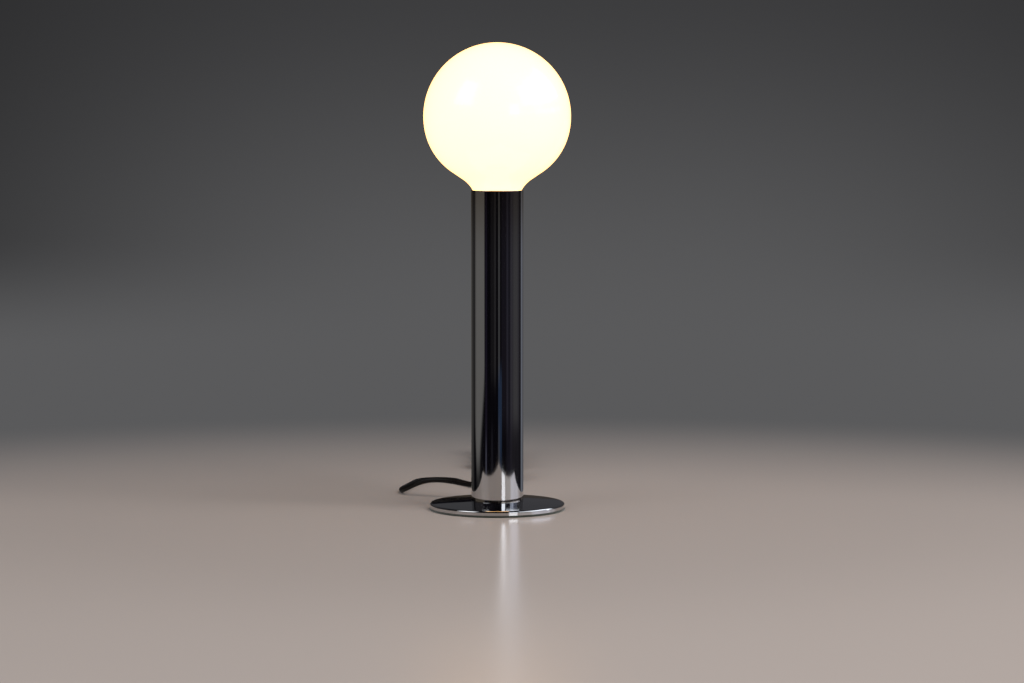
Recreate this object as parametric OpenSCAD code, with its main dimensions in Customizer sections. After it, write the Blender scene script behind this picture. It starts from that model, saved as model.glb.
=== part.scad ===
// Cylinder table lamp: a chromed tube on a thin crowned disc, with a globe bulb in its mouth.
// Millimetres, +Z up. The origin is the middle of the felt's underside, and the cord leaves at +Y.

/* [Base] */
// Diameter of the felt pad, which shows as a dark line round the foot of the disc
felt_d = 116; // [115.5:0.5:120]
// Thickness of the felt pad
felt_t = 1.2; // [0.6:0.1:3]
// Diameter of the base disc
base_d = 115; // [95:1:150]
// Thickness of the base disc at its edge
base_t = 4.5; // [4:0.5:9]
// Rise of the crowned top, from its edge to its middle
base_crown = 2.2; // [1:0.1:4]
// Radius of the disc's rounded top edge
base_edge_r = 1.6; // [0.6:0.1:2.4]

/* [Stem tube] */
// Outer diameter of the stem tube
tube_d = 44.5; // [44:0.1:48]
// Wall of the stem tube
tube_wall = 1.2; // [1:0.1:1.4]
// Length of the stem tube
tube_l = 265; // [240:0.2:320]
// Height of the cord hole's centre above the foot of the tube
exit_rise = 6.3; // [6.1:0.1:9]
// Diameter of the cord hole at the rear of the tube
exit_hole_d = 9; // [8.6:0.1:10]

/* [Foot weight] */
// Height of the turned steel weight inside the foot of the tube
weight_h = 42.5; // [38:0.5:80]
// Radius on which the three base screws stand
screw_circle_r = 13; // [12:0.5:15]
// Thread diameter of the base screws
base_screw_d = 4; // [3:0.5:4]
// Length of the base screws, head included
base_screw_l = 14; // [10:1:14]

/* [Lamp pipe] */
// Outer diameter of the lamp pipe
pipe_d = 10; // [10:0.1:11]
// Bore of the lamp pipe
pipe_bore = 7; // [6.9:0.1:8]
// Width of the pipe's lock nuts across their flats
nut_flats = 14; // [13:0.5:17]
// Thickness of the pipe's lock nuts
nut_t = 3.5; // [2.5:0.5:5]
// Thickness of the centring plate
plate_t = 1.5; // [1:0.1:2]

/* [Lampholder] */
// Outer diameter of the lampholder
holder_d = 39; // [38:0.5:40]
// Wall of the lampholder's dome
dome_wall = 2; // [1.5:0.1:2.4]
// Height of the dome below the barrel's skirt
dome_h = 12; // [11:0.5:14]
// Length of the spigot on which the barrel is screwed
spigot_h = 8; // [6:0.5:10]
// Thickness of the moulded insert
insert_t = 5; // [4:0.5:6]
// Bore of the barrel, over the crests of the bulb's shell
barrel_bore = 27; // [26.9:0.1:28]
// Clear height between the insert and the foot of the bulb
contact_room = 9.2; // [8:0.2:12]
// Thickness of the contact strips
strip_t = 0.5; // [0.4:0.1:0.8]
// Width of the contact strips
strip_w = 5; // [4:0.5:5.6]

/* [Bulb] */
// Diameter of the globe
globe_d = 125; // [118:1:126]
// Length of the bulb below the sphere's lowest level, down to its contact
shank_l = 50; // [48:0.5:56]
// Thickness of the glass
glass_t = 0.9; // [0.6:0.1:1.2]
// Radius of the curve that takes the globe into its slope
shoulder_r = 55; // [50:1:58]
// Angle below the horizontal at which the sphere turns into that curve
shoulder_angle = 12; // [8:1:20]
// Angle below the horizontal at which that curve turns into the slope
slope_angle = 56; // [54:0.2:58]
// Radius of the hollow curve between the slope and the neck
throat_r = 26.6; // [24:0.2:28]
// Outer diameter of the neck
neck_d = 34.6; // [34:0.2:36]
// Radius of the rounded foot of the neck
neck_foot_r = 7; // [6:0.5:8]
// Gap between the bulb's throat and the mouth of the tube, which sets how deep the bulb sits
mouth_gap = 0.3; // [0.3:0.05:1]
// Outer diameter of the bulb's shell
cap_d = 26.2; // [25.8:0.1:26.3]
// Wall of the bulb's shell
cap_wall = 0.4; // [0.3:0.1:0.5]
// Height of the cap, from its rim to the contact
cap_h = 27; // [26:0.5:28]
// Length of glass cemented into the cap
glass_stub = 11; // [9:0.5:12]
// Height of the contact at the foot of the bulb, below the shell
contact_h = 4; // [3.5:0.1:4.5]
// Radius of the filament's arc
filament_r = 14; // [10:1:18]
// Pitch of the screw thread between the bulb and the lampholder
thread_pitch = 3.629;

/* [Cord] */
// Diameter of the mains cord
cord_d = 4.8; // [4.8:0.1:4.9]
// Length of the strain relief outside the tube
relief_l = 20; // [18:0.5:22]
// Diameter of the strain relief's flanges
relief_flange_d = 10.8; // [10:0.1:11]
// Diameter of each conductor over its insulation
wire_d = 2; // [1.6:0.1:2.2]

/* [Cord switch] */
// Length of the cord switch
switch_l = 60; // [56:1:60]
// Width of the cord switch
switch_w = 25; // [22:1:28]
// Height of the cord switch
switch_h = 17; // [16:0.5:20]
// Wall of the switch's shells
switch_wall = 2; // [1.6:0.1:2.4]
// Height of the line where the shells meet, and of the cord through it
switch_split = 6.5; // [6:0.1:7]
// Length of the rocker
rocker_l = 19; // [17:0.5:20]
// Width of the rocker
rocker_w = 10; // [8:0.5:11]
// Angle of the rocker to each side of level
rocker_tilt = 8; // [6:0.5:8]
// Length of cord gripped inside each end of the switch
grip_l = 6; // [5:0.5:7]

/* [Plug] */
// Length of the plug's body
plug_l = 36; // [34:1:40]
// Width of the plug's body
plug_w = 35.3; // [34:0.1:36]
// Thickness of the plug's body
plug_t = 13.7; // [13:0.1:14.5]
// Length of the plug's strain relief
plug_relief_l = 25; // [20:1:28]
// Distance between the axes of the two pins
pin_gap = 18.6; // [18:0.1:19.2]
// Diameter of each pin
pin_d = 4; // [3.8:0.1:4]
// Length of each pin outside the body
pin_l = 19; // [18:0.5:20]
// Length of the insulating sleeve on each pin
sleeve_l = 10; // [8:0.5:11]
// Diameter of that sleeve
sleeve_d = 3.5; // [3.3:0.1:3.6]
// Diameter of each pin's core, under its sleeve and in the body
pin_core_d = 3; // [2.6:0.1:3.2]
// Depth of each pin in the body
pin_hold = 8; // [6:1:10]

/* [Hank] */
// Length of the hank's straight runs
run_l = 80; // [76:1:84]
// Radius of the innermost lane
lane_r = 13.85; // [13.85:0.05:15]
// Distance between neighbouring lanes
lane_step = 5.5; // [5.4:0.1:6]
// Height of one layer
layer_h = 5.3; // [5.3:0.1:6]
// How far the tie draws the runs in at the waist
waist_draw = 6; // [3:0.5:6.5]
// Width of the tie
tie_w = 8; // [5:0.5:12]
// Thickness of the tie
tie_t = 0.7; // [0.5:0.1:0.7]

/* [Hidden] */
$fn = 96;

// Clearance between pieces that turn, slide or screw past each other
play = 0.3;
// Clearance of a bonded or screwed seat
seat = 0.05;
// Overshoot of a cut past the face that it opens
cut = 1;
// Depth by which outlines that only touch are made to cross
nick = 0.01;
// Reach of one stretch of the glass into the next
lap = 2;
// Sides of a round that is thin and out of sight
few = 32;

tube_r = tube_d / 2;
tube_bore_r = tube_r - tube_wall;
base_r = base_d / 2;
base_z = felt_t;
crown_foot_r = base_r - base_edge_r;
crown_r = (crown_foot_r * crown_foot_r + base_crown * base_crown) / (2 * base_crown);
hub_r = tube_r + 0.6;
hub_t = base_t + base_crown - crown_r + sqrt(crown_r * crown_r - hub_r * hub_r);
hub_z = base_z + hub_t;
rim_z = hub_z + tube_l;
exit_z = hub_z + exit_rise;
base_chamfer = 0.5;
rim_round = 0.3;

weight_r = tube_bore_r - seat;
weight_top_z = hub_z + weight_h;
// Room beside the cord, and above and below it, in the slot of the weight
slot_side = 1.6;
slot_gap = 0.8;
bend_r = 19.2;
screw_head_r = base_screw_d;
screw_head_h = 2;
// Width across the corners and depth of the screws' sockets, and free thread below their tips
socket_w = 2.8;
socket_h = 1.4;
thread_spare = 2;
tapped_l = base_screw_l - hub_t + thread_spare;

globe_r = globe_d / 2;
neck_r = neck_d / 2;

// The slope's direction outwards, and the centres of the arcs above and below it
lean = [cos(slope_angle), -sin(slope_angle)];
shoulder_mid = (globe_r - shoulder_r) * [cos(shoulder_angle), -sin(shoulder_angle)];
slope_gap = shoulder_mid * lean + shoulder_r;
throat_x = neck_r + throat_r - nick;
throat_y = (slope_gap + throat_r - 2 * nick - throat_x * lean[0]) / lean[1];
throat_mid = [throat_x, throat_y];

// Level of the tube's rim below the middle of the globe
mouth_y = throat_y + sqrt(pow(throat_r, 2) - pow(throat_x - tube_bore_r + mouth_gap, 2));
globe_z = rim_z - mouth_y;
contact_z = globe_z - globe_r - shank_l;
cap_rim_z = contact_z + cap_h;
cap_r = cap_d / 2;
cap_foot_z = contact_z + contact_h;
stub_r = cap_r - cap_wall - play;
insulator_r = 9.3;
button_r = 4.8;
button_h = 1.4;
bead_z = globe_z - 18;

holder_r = holder_d / 2;
barrel_top_z = cap_rim_z - 0.8;
insert_top_z = contact_z - contact_room;
insert_z = insert_top_z - insert_t;
skirt_z = insert_z - spigot_h;
dome_z = skirt_z - dome_h;
dome_neck_r = 7.5;
dome_neck_h = 4;
dome_foot_z = dome_z - dome_neck_h;
spigot_r = holder_r - 1.55;
spigot_bore_r = spigot_r - dome_wall;
barrel_bore_r = barrel_bore / 2;
terminal_x = 9;
terminal_size = [7, 9, 6];
terminal_thread_d = 3;
side_strip_x = barrel_bore_r - 0.1;
side_strip_h = 20;

pipe_r = pipe_d / 2;
pipe_foot_z = exit_z + bend_r + 2.6;
pipe_top_z = dome_z + 1;
plate_z = dome_foot_z - plate_t;

relief_inner_y = 18.6;
relief_seat_y = 20.3;
relief_tip_y = tube_r + relief_l + seat;
relief_r = relief_flange_d / 2;

cord_r = cord_d / 2;
floor_z = cord_r + seat;
bend_y = relief_inner_y - 0.4;
inner_cord_y = bend_y - bend_r;
sheath_end_z = dome_z + 3;

switch_x = 8.2;
switch_y = 185;

// The lead's middle line, chosen by hand: it leaves the strain relief straight to the rear, arches
// over to the left, comes down on the table, turns back behind the lamp and rises into the switch.
lead_route = [
    [0, relief_tip_y, exit_z],
    [0, relief_tip_y + cord_d, exit_z],
    [-1.6, 55.9, 13.5], [-6.1, 63.7, 12.8], [-13, 69.5, 12.1], [-21.5, 72.6, 11.8],
    [-31.3, 74.6, 12.9], [-40.9, 77.2, 14.3], [-50.4, 80.4, 15], [-59.6, 84.2, 14.4],
    [-68.6, 88.5, 11.9], [-74.6, 91.9, 9.1], [-80, 96.8, 6], [-83.9, 103.1, 3.6],
    [-85.6, 110.4, 2.6], [-85, 118, 2.5], [-83.2, 127, 2.5], [-81, 137, 2.5], [-79, 147, 2.5],
    [-77, 157, 2.5], [-74.7, 166.5, 2.5], [-71.2, 174.5, 2.5], [-65, 180.3, 2.5],
    [-56.7, 182.9, 2.5], [-48.2, 181.8, 2.5], [-41.6, 177.9, 2.5], [-37, 171.8, 2.5],
    [-32.5, 162.5, 2.5], [-28.2, 153.6, 2.5], [-25.2, 147.8, 2.5], [-20.2, 142, 2.5],
    [-12.5, 137.9, 2.5], [-3.5, 137.5, 2.5], [4.9, 141, 2.7], [11.1, 147.7, 3.2],
    [13.8, 156.4, 4], [13.4, 162.6, 4.8], [11.2, 168.6, 5.5], [9, 174, 6.1],
    [switch_x, 179.7, switch_split], [switch_x, switch_y + grip_l, switch_split]
];
link_route = [
    [switch_x, switch_y + switch_l - grip_l, switch_split], [switch_x, 250, switch_split],
    [8.9, 255.4, 6.3], [10.8, 260.3, 5.8], [14, 265, 5], [17.3, 269.6, 4.2], [19.2, 274.6, 3.6]
];
hank_y = 290;
tail_route = [
    [18.1, 306, 19.7], [15.7, 312, 21.2], [9.4, 319, 23.8], [3.1, 326, 26.5], [0.7, 332, 28]
];

// The hank: turns counted from the middle of the right-hand run, where travel is towards +Y
run_share = 5 / 24;
loop_rings = 24;
hank_turns = 5;
reversals = [1, 2.5, 4];
hank_floor_z = floor_z + tie_t + 0.1;

plug_y = 368;
plug_relief_y = plug_y - plug_relief_l;
plug_z = hank_floor_z + len(reversals) * layer_h + cord_r + plug_t / 2 + seat;

trunnion_r = 1.2;
trunnion_play = 0.05;
ear_t = 1.6;
rocker_z = switch_h - 2.4;
// Pillars and bosses of the switch's four screws, and where they stand
pillar_d = 5;
pillar_inset = 5;
clamp_y = switch_l / 2 - 12;
// Length of the rocker's stem below its pivot, and the contact blade under it
stem_l = 5;
blade_l = 13;
blade_w = 3;
blade_t = 0.5;
post_t = 1.2;
rocker_y = switch_y + switch_l / 2;

// Unit vector along v
function unit(v) = v / norm(v);

// Direction of travel at point i of a route
function heading(route, i) =
    let (last = len(route) - 1)
    unit(route[min(i + 1, last)] - route[max(i - 1, 0)]);

// One ring of a tube. aside is any direction that the tube never takes.
function ring(centre, along, aside, r, sides) =
    let (across = unit(cross(along, aside)), over = cross(across, along))
    [for (k = [0 : sides - 1])
        let (a = 360 * (k + 0.5) / sides)
        centre + r * (cos(a) * across + sin(a) * over)];

// A round tube swept along a route, its ends square to the first and last stretch
module swept(route, r, sides, aside = [0, 0, 1]) {
    last = len(route) - 1;
    points = [for (i = [0 : last]) each ring(route[i], heading(route, i), aside, r, sides)];
    foot = [for (k = [1 : sides - 2]) [0, k + 1, k]];
    head = [for (k = [1 : sides - 2]) [last * sides, last * sides + k, last * sides + k + 1]];
    skin = [
        for (i = [0 : last - 1], k = [0 : sides - 1])
            let (a = i * sides + k, b = i * sides + (k + 1) % sides)
            each [[a, b, a + sides], [b, b + sides, a + sides]]
    ];
    polyhedron(points = points, faces = concat(foot, skin, head));
}

// Rounded rectangle about the origin, with true arcs at its corners
module round_rect(size, r) {
    square([size[0] - 2 * r, size[1]], center = true);
    square([size[0], size[1] - 2 * r], center = true);
    for (x = [-1, 1], y = [-1, 1])
        translate([x * (size[0] / 2 - r), y * (size[1] / 2 - r)])
            circle(r = r, $fn = few);
}

// Felt disc glued under the base, over the heads of the screws
module felt_pad() {
    color("darkgreen")
        cylinder(d = felt_d, h = felt_t);
}

// Half section of the base disc: crowned top, rounded upper edge, small chamfer below
module base_section() {
    intersection() {
        translate([0, base_t + base_crown - crown_r])
            circle(r = crown_r, $fn = 1440);
        square([base_r, hub_t]);
        union() {
            polygon([
                [0, 0], [base_r - base_chamfer, 0], [base_r, base_chamfer],
                [base_r, base_t - base_edge_r], [0, base_t - base_edge_r]
            ]);
            square([crown_foot_r, base_t + base_crown]);
            translate([crown_foot_r, base_t - base_edge_r])
                circle(r = base_edge_r);
        }
    }
}

// Places its children at the three base screws, clear of the cord slot at the rear
module at_screws() {
    for (a = [30, 150, 270])
        rotate(a)
            translate([screw_circle_r, 0])
                children();
}

module base_disc() {
    color("gainsboro")
        translate([0, 0, base_z])
            difference() {
                rotate_extrude($fn = 180)
                    base_section();
                at_screws() {
                    translate([0, 0, -cut])
                        cylinder(d = base_screw_d + play, h = hub_t + 2 * cut, $fn = few);
                    translate([0, 0, -seat])
                        cylinder(r1 = screw_head_r + play, r2 = base_screw_d / 2, h = screw_head_h + play);
                }
            }
}

// Countersunk screws with a hexagon socket, their heads flush with the disc's underside
module base_screws() {
    color("dimgray")
        at_screws()
            translate([0, 0, base_z])
                difference() {
                    union() {
                        cylinder(r1 = screw_head_r, r2 = base_screw_d / 2 - seat, h = screw_head_h);
                        cylinder(d = base_screw_d - 2 * seat, h = base_screw_l, $fn = few);
                    }
                    translate([0, 0, -cut])
                        cylinder(d = socket_w, h = cut + socket_h, $fn = 6);
                }
}

// Turned steel weight bonded into the foot of the tube. It holds the disc's screws and the lamp
// pipe, and a milled slot at its rear lets the cord turn upwards.
module foot_weight() {
    slot_w = cord_d + 2 * slot_side;
    slot_floor = exit_z - cord_r - slot_gap;
    pipe_hole_z = exit_z + bend_r;
    flange_room = 2.6;
    color("slategray")
        difference() {
            translate([0, 0, hub_z])
                cylinder(r = weight_r, h = weight_h);
            translate([-slot_w / 2, inner_cord_y - cord_r - slot_gap, slot_floor])
                cube([slot_w, weight_r + bend_r, pipe_hole_z + play - slot_floor]);
            translate([0, relief_inner_y - flange_room, exit_z])
                rotate([-90, 0, 0])
                    cylinder(r = relief_r + play, h = weight_r, $fn = few);
            translate([0, 0, pipe_hole_z])
                cylinder(r = pipe_r + seat, h = weight_h);
            at_screws()
                translate([0, 0, hub_z - cut])
                    cylinder(d = base_screw_d, h = cut + tapped_l, $fn = few);
        }
}

// Half section of the tube's wall, with its rim and foot broken by small rounds
module tube_section() {
    translate([tube_bore_r, rim_round])
        square([tube_wall, tube_l - 2 * rim_round]);
    translate([tube_bore_r + rim_round, 0])
        square([tube_wall - 2 * rim_round, tube_l]);
    for (x = [tube_bore_r + rim_round, tube_r - rim_round], y = [rim_round, tube_l - rim_round])
        translate([x, y])
            circle(r = rim_round, $fn = few);
}

module stem_tube() {
    color("silver")
        translate([0, 0, hub_z])
            difference() {
                rotate_extrude($fn = 180)
                    tube_section();
                translate([0, 0, exit_rise])
                    rotate([-90, 0, 0])
                        cylinder(d = exit_hole_d, h = tube_d, $fn = few);
            }
}

// Half section of the bushing along its axis: inner flange, neck in the tube's wall, outer flange
// and a tapered sleeve cut by flexing grooves
module bushing_section() {
    neck_r = exit_hole_d / 2 - seat;
    flange_t = 1.8;
    flange_end = tube_r + seat + flange_t;
    sleeve_r = neck_r - 0.2;
    sleeve_tip_r = cord_r + 0.8;
    groove_foot_r = cord_r + 0.35;
    grooves = 5;
    groove_w = 1.2;
    tip_l = 2;
    pitch = (relief_tip_y - flange_end - tip_l) / grooves;
    square_from_to(relief_inner_y, relief_seat_y, relief_r);
    square_from_to(relief_seat_y, tube_r + seat, neck_r);
    square_from_to(tube_r + seat, flange_end, relief_r);
    difference() {
        polygon([
            [0, flange_end], [sleeve_r, flange_end], [sleeve_tip_r, relief_tip_y], [0, relief_tip_y]
        ]);
        for (k = [1 : grooves])
            translate([groove_foot_r, flange_end + k * pitch - groove_w])
                square([relief_r, groove_w]);
    }
}

// Rectangle from the axis to a radius, between two places along the axis
module square_from_to(from, to, r) {
    translate([0, from])
        square([r, to - from]);
}

// Moulded bushing and strain relief, snapped into the hole at the rear of the tube
module cord_bushing() {
    color("black")
        translate([0, 0, exit_z])
            rotate([-90, 0, 0])
                rotate_extrude()
                    bushing_section();
}

// The cord inside the lamp: up through the slot in the weight and the bore of the pipe
module inner_cord() {
    pipe_l = pipe_top_z - pipe_foot_z;
    bend = [
        for (a = [0 : 11.25 : 90])
            [0, bend_y - bend_r * sin(a), exit_z + bend_r * (1 - cos(a))]
    ];
    rise = [
        for (share = [0, 0.5, 1])
            [0, inner_cord_y * (1 - share), pipe_foot_z + pipe_l * (0.1 + 0.4 * share)]
    ];
    route = concat([[0, relief_inner_y, exit_z]], bend, rise, [[0, 0, sheath_end_z]]);
    color("black")
        swept(route, cord_r, 8, [1, 0, 0]);
}

// Threaded steel pipe that ties the lampholder to the weight and carries the cord
module lamp_pipe() {
    color("lightsteelblue")
        translate([0, 0, pipe_foot_z])
            difference() {
                cylinder(r = pipe_r, h = pipe_top_z - pipe_foot_z, $fn = few);
                translate([0, 0, -cut])
                    cylinder(d = pipe_bore, h = pipe_top_z - pipe_foot_z + 2 * cut, $fn = few);
            }
}

// Hexagon nut on the lamp pipe
module pipe_nut() {
    difference() {
        cylinder(d = nut_flats / cos(30), h = nut_t, $fn = 6);
        translate([0, 0, -cut])
            cylinder(r = pipe_r + seat, h = nut_t + 2 * cut, $fn = few);
    }
}

module pipe_nuts() {
    color("goldenrod")
        for (z = [weight_top_z, plate_z - nut_t])
            translate([0, 0, z])
                pipe_nut();
}

// Pressed plate under the lampholder, with three arms that reach the tube's wall
module centring_plate() {
    window_r = 4.5;
    window_x = (pipe_r + tube_bore_r) / 2;
    bay_r = 8;
    bay_x = tube_bore_r + bay_r / 2;
    arms = 3;
    color("lightsteelblue")
        translate([0, 0, plate_z])
            difference() {
                cylinder(r = tube_bore_r - play, h = plate_t);
                translate([0, 0, -cut])
                    cylinder(r = pipe_r + seat, h = plate_t + 2 * cut, $fn = few);
                for (k = [0 : arms - 1])
                    rotate(k * 360 / arms) {
                        translate([window_x, 0, -cut])
                            cylinder(r = window_r, h = plate_t + 2 * cut, $fn = few);
                        rotate(180 / arms)
                            translate([bay_x, 0, -cut])
                                cylinder(r = bay_r, h = plate_t + 2 * cut, $fn = few);
                    }
            }
}

// Half section of the dome's outside or inside: a quarter round between a neck and a spigot
module dome_form(neck_r, top_r, foot, round_r) {
    square_from_to(foot, skirt_z, neck_r);
    intersection() {
        translate([top_r - round_r, dome_z + (dome_h - round_r)])
            square([round_r, round_r]);
        translate([top_r - round_r, skirt_z])
            circle(r = round_r);
    }
    square_from_to(skirt_z - round_r, skirt_z, top_r - round_r);
}

// Moulded cover of the lampholder's terminals, screwed on the pipe by its neck
module holder_dome() {
    inner_round = dome_h - dome_wall;
    color("whitesmoke")
        difference() {
            rotate_extrude()
                difference() {
                    union() {
                        dome_form(dome_neck_r, holder_r, dome_foot_z, dome_h);
                        square_from_to(skirt_z, insert_z, spigot_r);
                    }
                    square_from_to(skirt_z, insert_z + cut, spigot_bore_r);
                    dome_form(0.1, spigot_bore_r, skirt_z - inner_round, inner_round);
                }
            translate([0, 0, dome_foot_z - cut])
                cylinder(r = pipe_r + seat, h = dome_neck_h + dome_h, $fn = few);
        }
}

// Moulded disc between dome and barrel: a rib below keeps the two terminals apart, and two small
// holes take the rivets of the contacts
module holder_insert() {
    rib_w = 2.4;
    rib_h = 2;
    rivet_d = 1.6;
    rivet_y = 8.5;
    color("ivory")
        translate([0, 0, insert_z])
            difference() {
                union() {
                    cylinder(r = spigot_r, h = insert_t);
                    translate([0, 0, -rib_h])
                        intersection() {
                            cylinder(r = spigot_bore_r - seat, h = rib_h + cut);
                            translate([-rib_w / 2, -spigot_r, 0])
                                cube([rib_w, 2 * spigot_r, rib_h + cut]);
                        }
                }
                for (y = [-rivet_y, rivet_y])
                    translate([0, y, -rib_h - cut])
                        cylinder(d = rivet_d, h = insert_t + rib_h + 2 * cut, $fn = few);
            }
}

// Moulded E27 barrel: a skirt over the dome's spigot, a shoulder over the insert and the screw bore
module holder_barrel() {
    chamber_z = insert_top_z + 0.1;
    lead_in = 1.5;
    rim_chamfer = 0.8;
    groove_play = 0.2;
    color("whitesmoke")
        difference() {
            rotate_extrude()
                polygon([
                    [spigot_r + seat, skirt_z], [holder_r, skirt_z],
                    [holder_r, barrel_top_z - rim_chamfer], [holder_r - rim_chamfer, barrel_top_z],
                    [barrel_bore_r + lead_in, barrel_top_z],
                    [barrel_bore_r, barrel_top_z - lead_in], [barrel_bore_r, chamber_z],
                    [spigot_r + seat, chamber_z]
                ]);
            translate([side_strip_x - groove_play, -strip_w / 2 - play, insert_top_z - cut])
                cube([strip_t + groove_play + play, strip_w + 2 * play, side_strip_h + cut + play]);
        }
}

// A bent strip: its side view is drawn in X and Z and it is strip_w wide
module bent_strip() {
    translate([0, strip_w / 2, 0])
        rotate([90, 0, 0])
            linear_extrude(strip_w)
                children();
}

// Spring tongue of bronze under the bulb's contact
module centre_contact() {
    tip_z = contact_z - play;
    color("goldenrod")
        bent_strip()
            polygon([
                [-12, insert_top_z], [-5, insert_top_z], [-1.6, tip_z - 2.4], [2, tip_z - strip_t],
                [5, tip_z - strip_t - 1], [5, tip_z - 1], [2, tip_z], [-2, tip_z - 2],
                [-5.2, insert_top_z + strip_t], [-12, insert_top_z + strip_t]
            ]);
}

// Bronze strip that stands in a groove of the barrel and touches the side of the bulb's shell
module side_contact() {
    top_z = insert_top_z + side_strip_h;
    x = side_strip_x;
    color("goldenrod")
        bent_strip()
            polygon([
                [6.5, insert_top_z], [x + strip_t, insert_top_z], [x + strip_t, top_z],
                [x, top_z], [x, insert_top_z + strip_t], [6.5, insert_top_z + strip_t]
            ]);
}

// Brass blocks under the insert, each with a hole for a conductor and one for its screw
module terminal_blocks() {
    size = terminal_size;
    color("gold")
        for (x = [-terminal_x, terminal_x])
            translate([x, 0, insert_z - size[2]])
                difference() {
                    translate([-size[0] / 2, -size[1] / 2, 0])
                        cube(size);
                    translate([0, 0, -cut])
                        cylinder(d = wire_d + 0.6, h = size[2], $fn = few);
                    translate([0, 0, size[2] / 2])
                        rotate([90, 0, 0])
                            cylinder(d = terminal_thread_d, h = size[1], $fn = few);
                }
}

module terminal_screws() {
    size = terminal_size;
    shank_end = wire_d / 2 + 0.5;
    head_d = 5;
    head_h = 2;
    slot_w = 0.8;
    slot_h = 0.8;
    color("silver")
        for (x = [-terminal_x, terminal_x])
            translate([x, 0, insert_z - size[2] / 2])
                rotate([90, 0, 0])
                    difference() {
                        union() {
                            translate([0, 0, shank_end])
                                cylinder(
                                    r = terminal_thread_d / 2 - seat,
                                    h = size[1] / 2 - shank_end + cut, $fn = few
                                );
                            translate([0, 0, size[1] / 2])
                                cylinder(d = head_d, h = head_h, $fn = few);
                        }
                        translate([-head_d, -slot_w / 2, size[1] / 2 + head_h - slot_h])
                            cube([2 * head_d, slot_w, slot_h + cut]);
                    }
}

// One insulated conductor from the end of the sheath into its terminal block
module conductor(side) {
    foot_x = side * 1.1;
    end_x = side * terminal_x;
    foot = sheath_end_z;
    top = insert_z - terminal_size[2];
    rise = top - foot;
    swept(
        [
            [foot_x, 0, foot], [foot_x, 0, foot + 0.2 * rise],
            [foot_x + 0.2 * (end_x - foot_x), 0, foot + 0.4 * rise],
            [foot_x + 0.75 * (end_x - foot_x), 0, foot + 0.62 * rise],
            [end_x, 0, foot + 0.85 * rise], [end_x, 0, top + terminal_size[2] * 0.5]
        ],
        wire_d / 2, 8, [0, 1, 0]
    );
}

module live_wire() {
    color("saddlebrown")
        conductor(-1);
}

module neutral_wire() {
    color("royalblue")
        conductor(1);
}

// Half section of the globe down past its shoulder, drawn in by inset, about the globe's centre
module globe_head(inset, low_y) {
    join_y = -(globe_r - inset) * sin(shoulder_angle);
    intersection() {
        circle(r = globe_r - inset, $fn = 360);
        translate([0, join_y])
            square([globe_r, 2 * globe_r]);
    }
    intersection() {
        union() {
            translate(shoulder_mid)
                circle(r = shoulder_r - inset, $fn = 360);
            translate([0, -globe_r])
                square([shoulder_mid[0], globe_r]);
        }
        translate([0, low_y])
            square([globe_r, join_y + lap - low_y]);
    }
}

// Half section of the slope under the shoulder and of the hollow throat under that
module globe_slope(inset, slope_top) {
    slope_foot = throat_mid - (throat_r + inset - nick) * lean;
    difference() {
        polygon([
            [0, slope_top[1]], slope_top, slope_foot, [throat_x, slope_foot[1]], throat_mid,
            [0, throat_y]
        ]);
        translate(throat_mid)
            circle(r = throat_r + inset, $fn = 360);
    }
}

// Half section of the neck, its rounded foot, and the stub that is cemented into the cap
module globe_neck(inset) {
    foot_sink = 0.25;
    foot_y = cap_rim_z - globe_z - foot_sink + neck_foot_r;
    foot_r = neck_foot_r - inset;
    stub_y = cap_rim_z - glass_stub - globe_z;
    translate([0, foot_y])
        square([neck_r - inset, throat_y + lap - foot_y]);
    intersection() {
        union() {
            translate([neck_r - neck_foot_r, foot_y])
                circle(r = foot_r);
            translate([0, foot_y - foot_r])
                square([neck_r - neck_foot_r, foot_r + lap]);
        }
        translate([0, foot_y - foot_r])
            square([neck_r, foot_r + lap]);
    }
    translate([0, stub_y])
        square([stub_r - inset, foot_y - stub_y]);
}

// The whole form of the bulb's glass. A sphere turns through a tighter shoulder into a slope, and a
// hollow throat leads to the neck. Each stretch reaches a little way up into the one above it.
module globe_form(inset) {
    slope_top = shoulder_mid + (shoulder_r - inset - nick) * lean;
    rotate_extrude($fn = 180)
        globe_head(inset, slope_top[1] - lap);
    rotate_extrude($fn = 180)
        globe_slope(inset, slope_top);
    rotate_extrude($fn = 180)
        globe_neck(inset);
}

module bulb_globe() {
    color("ivory")
        translate([0, 0, globe_z])
            difference() {
                globe_form(0);
                globe_form(glass_t);
                translate([0, 0, cap_rim_z - globe_z - glass_stub - cut])
                    cylinder(r = stub_r - glass_t, h = 2 * cut);
            }
}

// Pressed metal shell of the cap, open above and drawn in below round the insulator
module bulb_cap() {
    turn_r = 3.2;
    turn_z = cap_foot_z + turn_r;
    in_r = cap_r - cap_wall;
    color("silver")
        rotate_extrude()
            difference() {
                union() {
                    square_from_to(turn_z, cap_rim_z, cap_r);
                    square_from_to(cap_foot_z, turn_z + cut, cap_r - turn_r);
                    intersection() {
                        translate([cap_r - turn_r, turn_z])
                            circle(r = turn_r);
                        square_from_to(cap_foot_z, turn_z + cut, cap_r);
                    }
                }
                square_from_to(turn_z, cap_rim_z + cut, in_r);
                square_from_to(cap_foot_z + cap_wall, turn_z + cut, cap_r - turn_r);
                intersection() {
                    translate([cap_r - turn_r, turn_z])
                        circle(r = turn_r - cap_wall);
                    square_from_to(cap_foot_z, turn_z + cut, in_r);
                }
                square_from_to(cap_foot_z - cut, cap_foot_z + cap_wall + cut, insulator_r + seat);
            }
}

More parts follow.
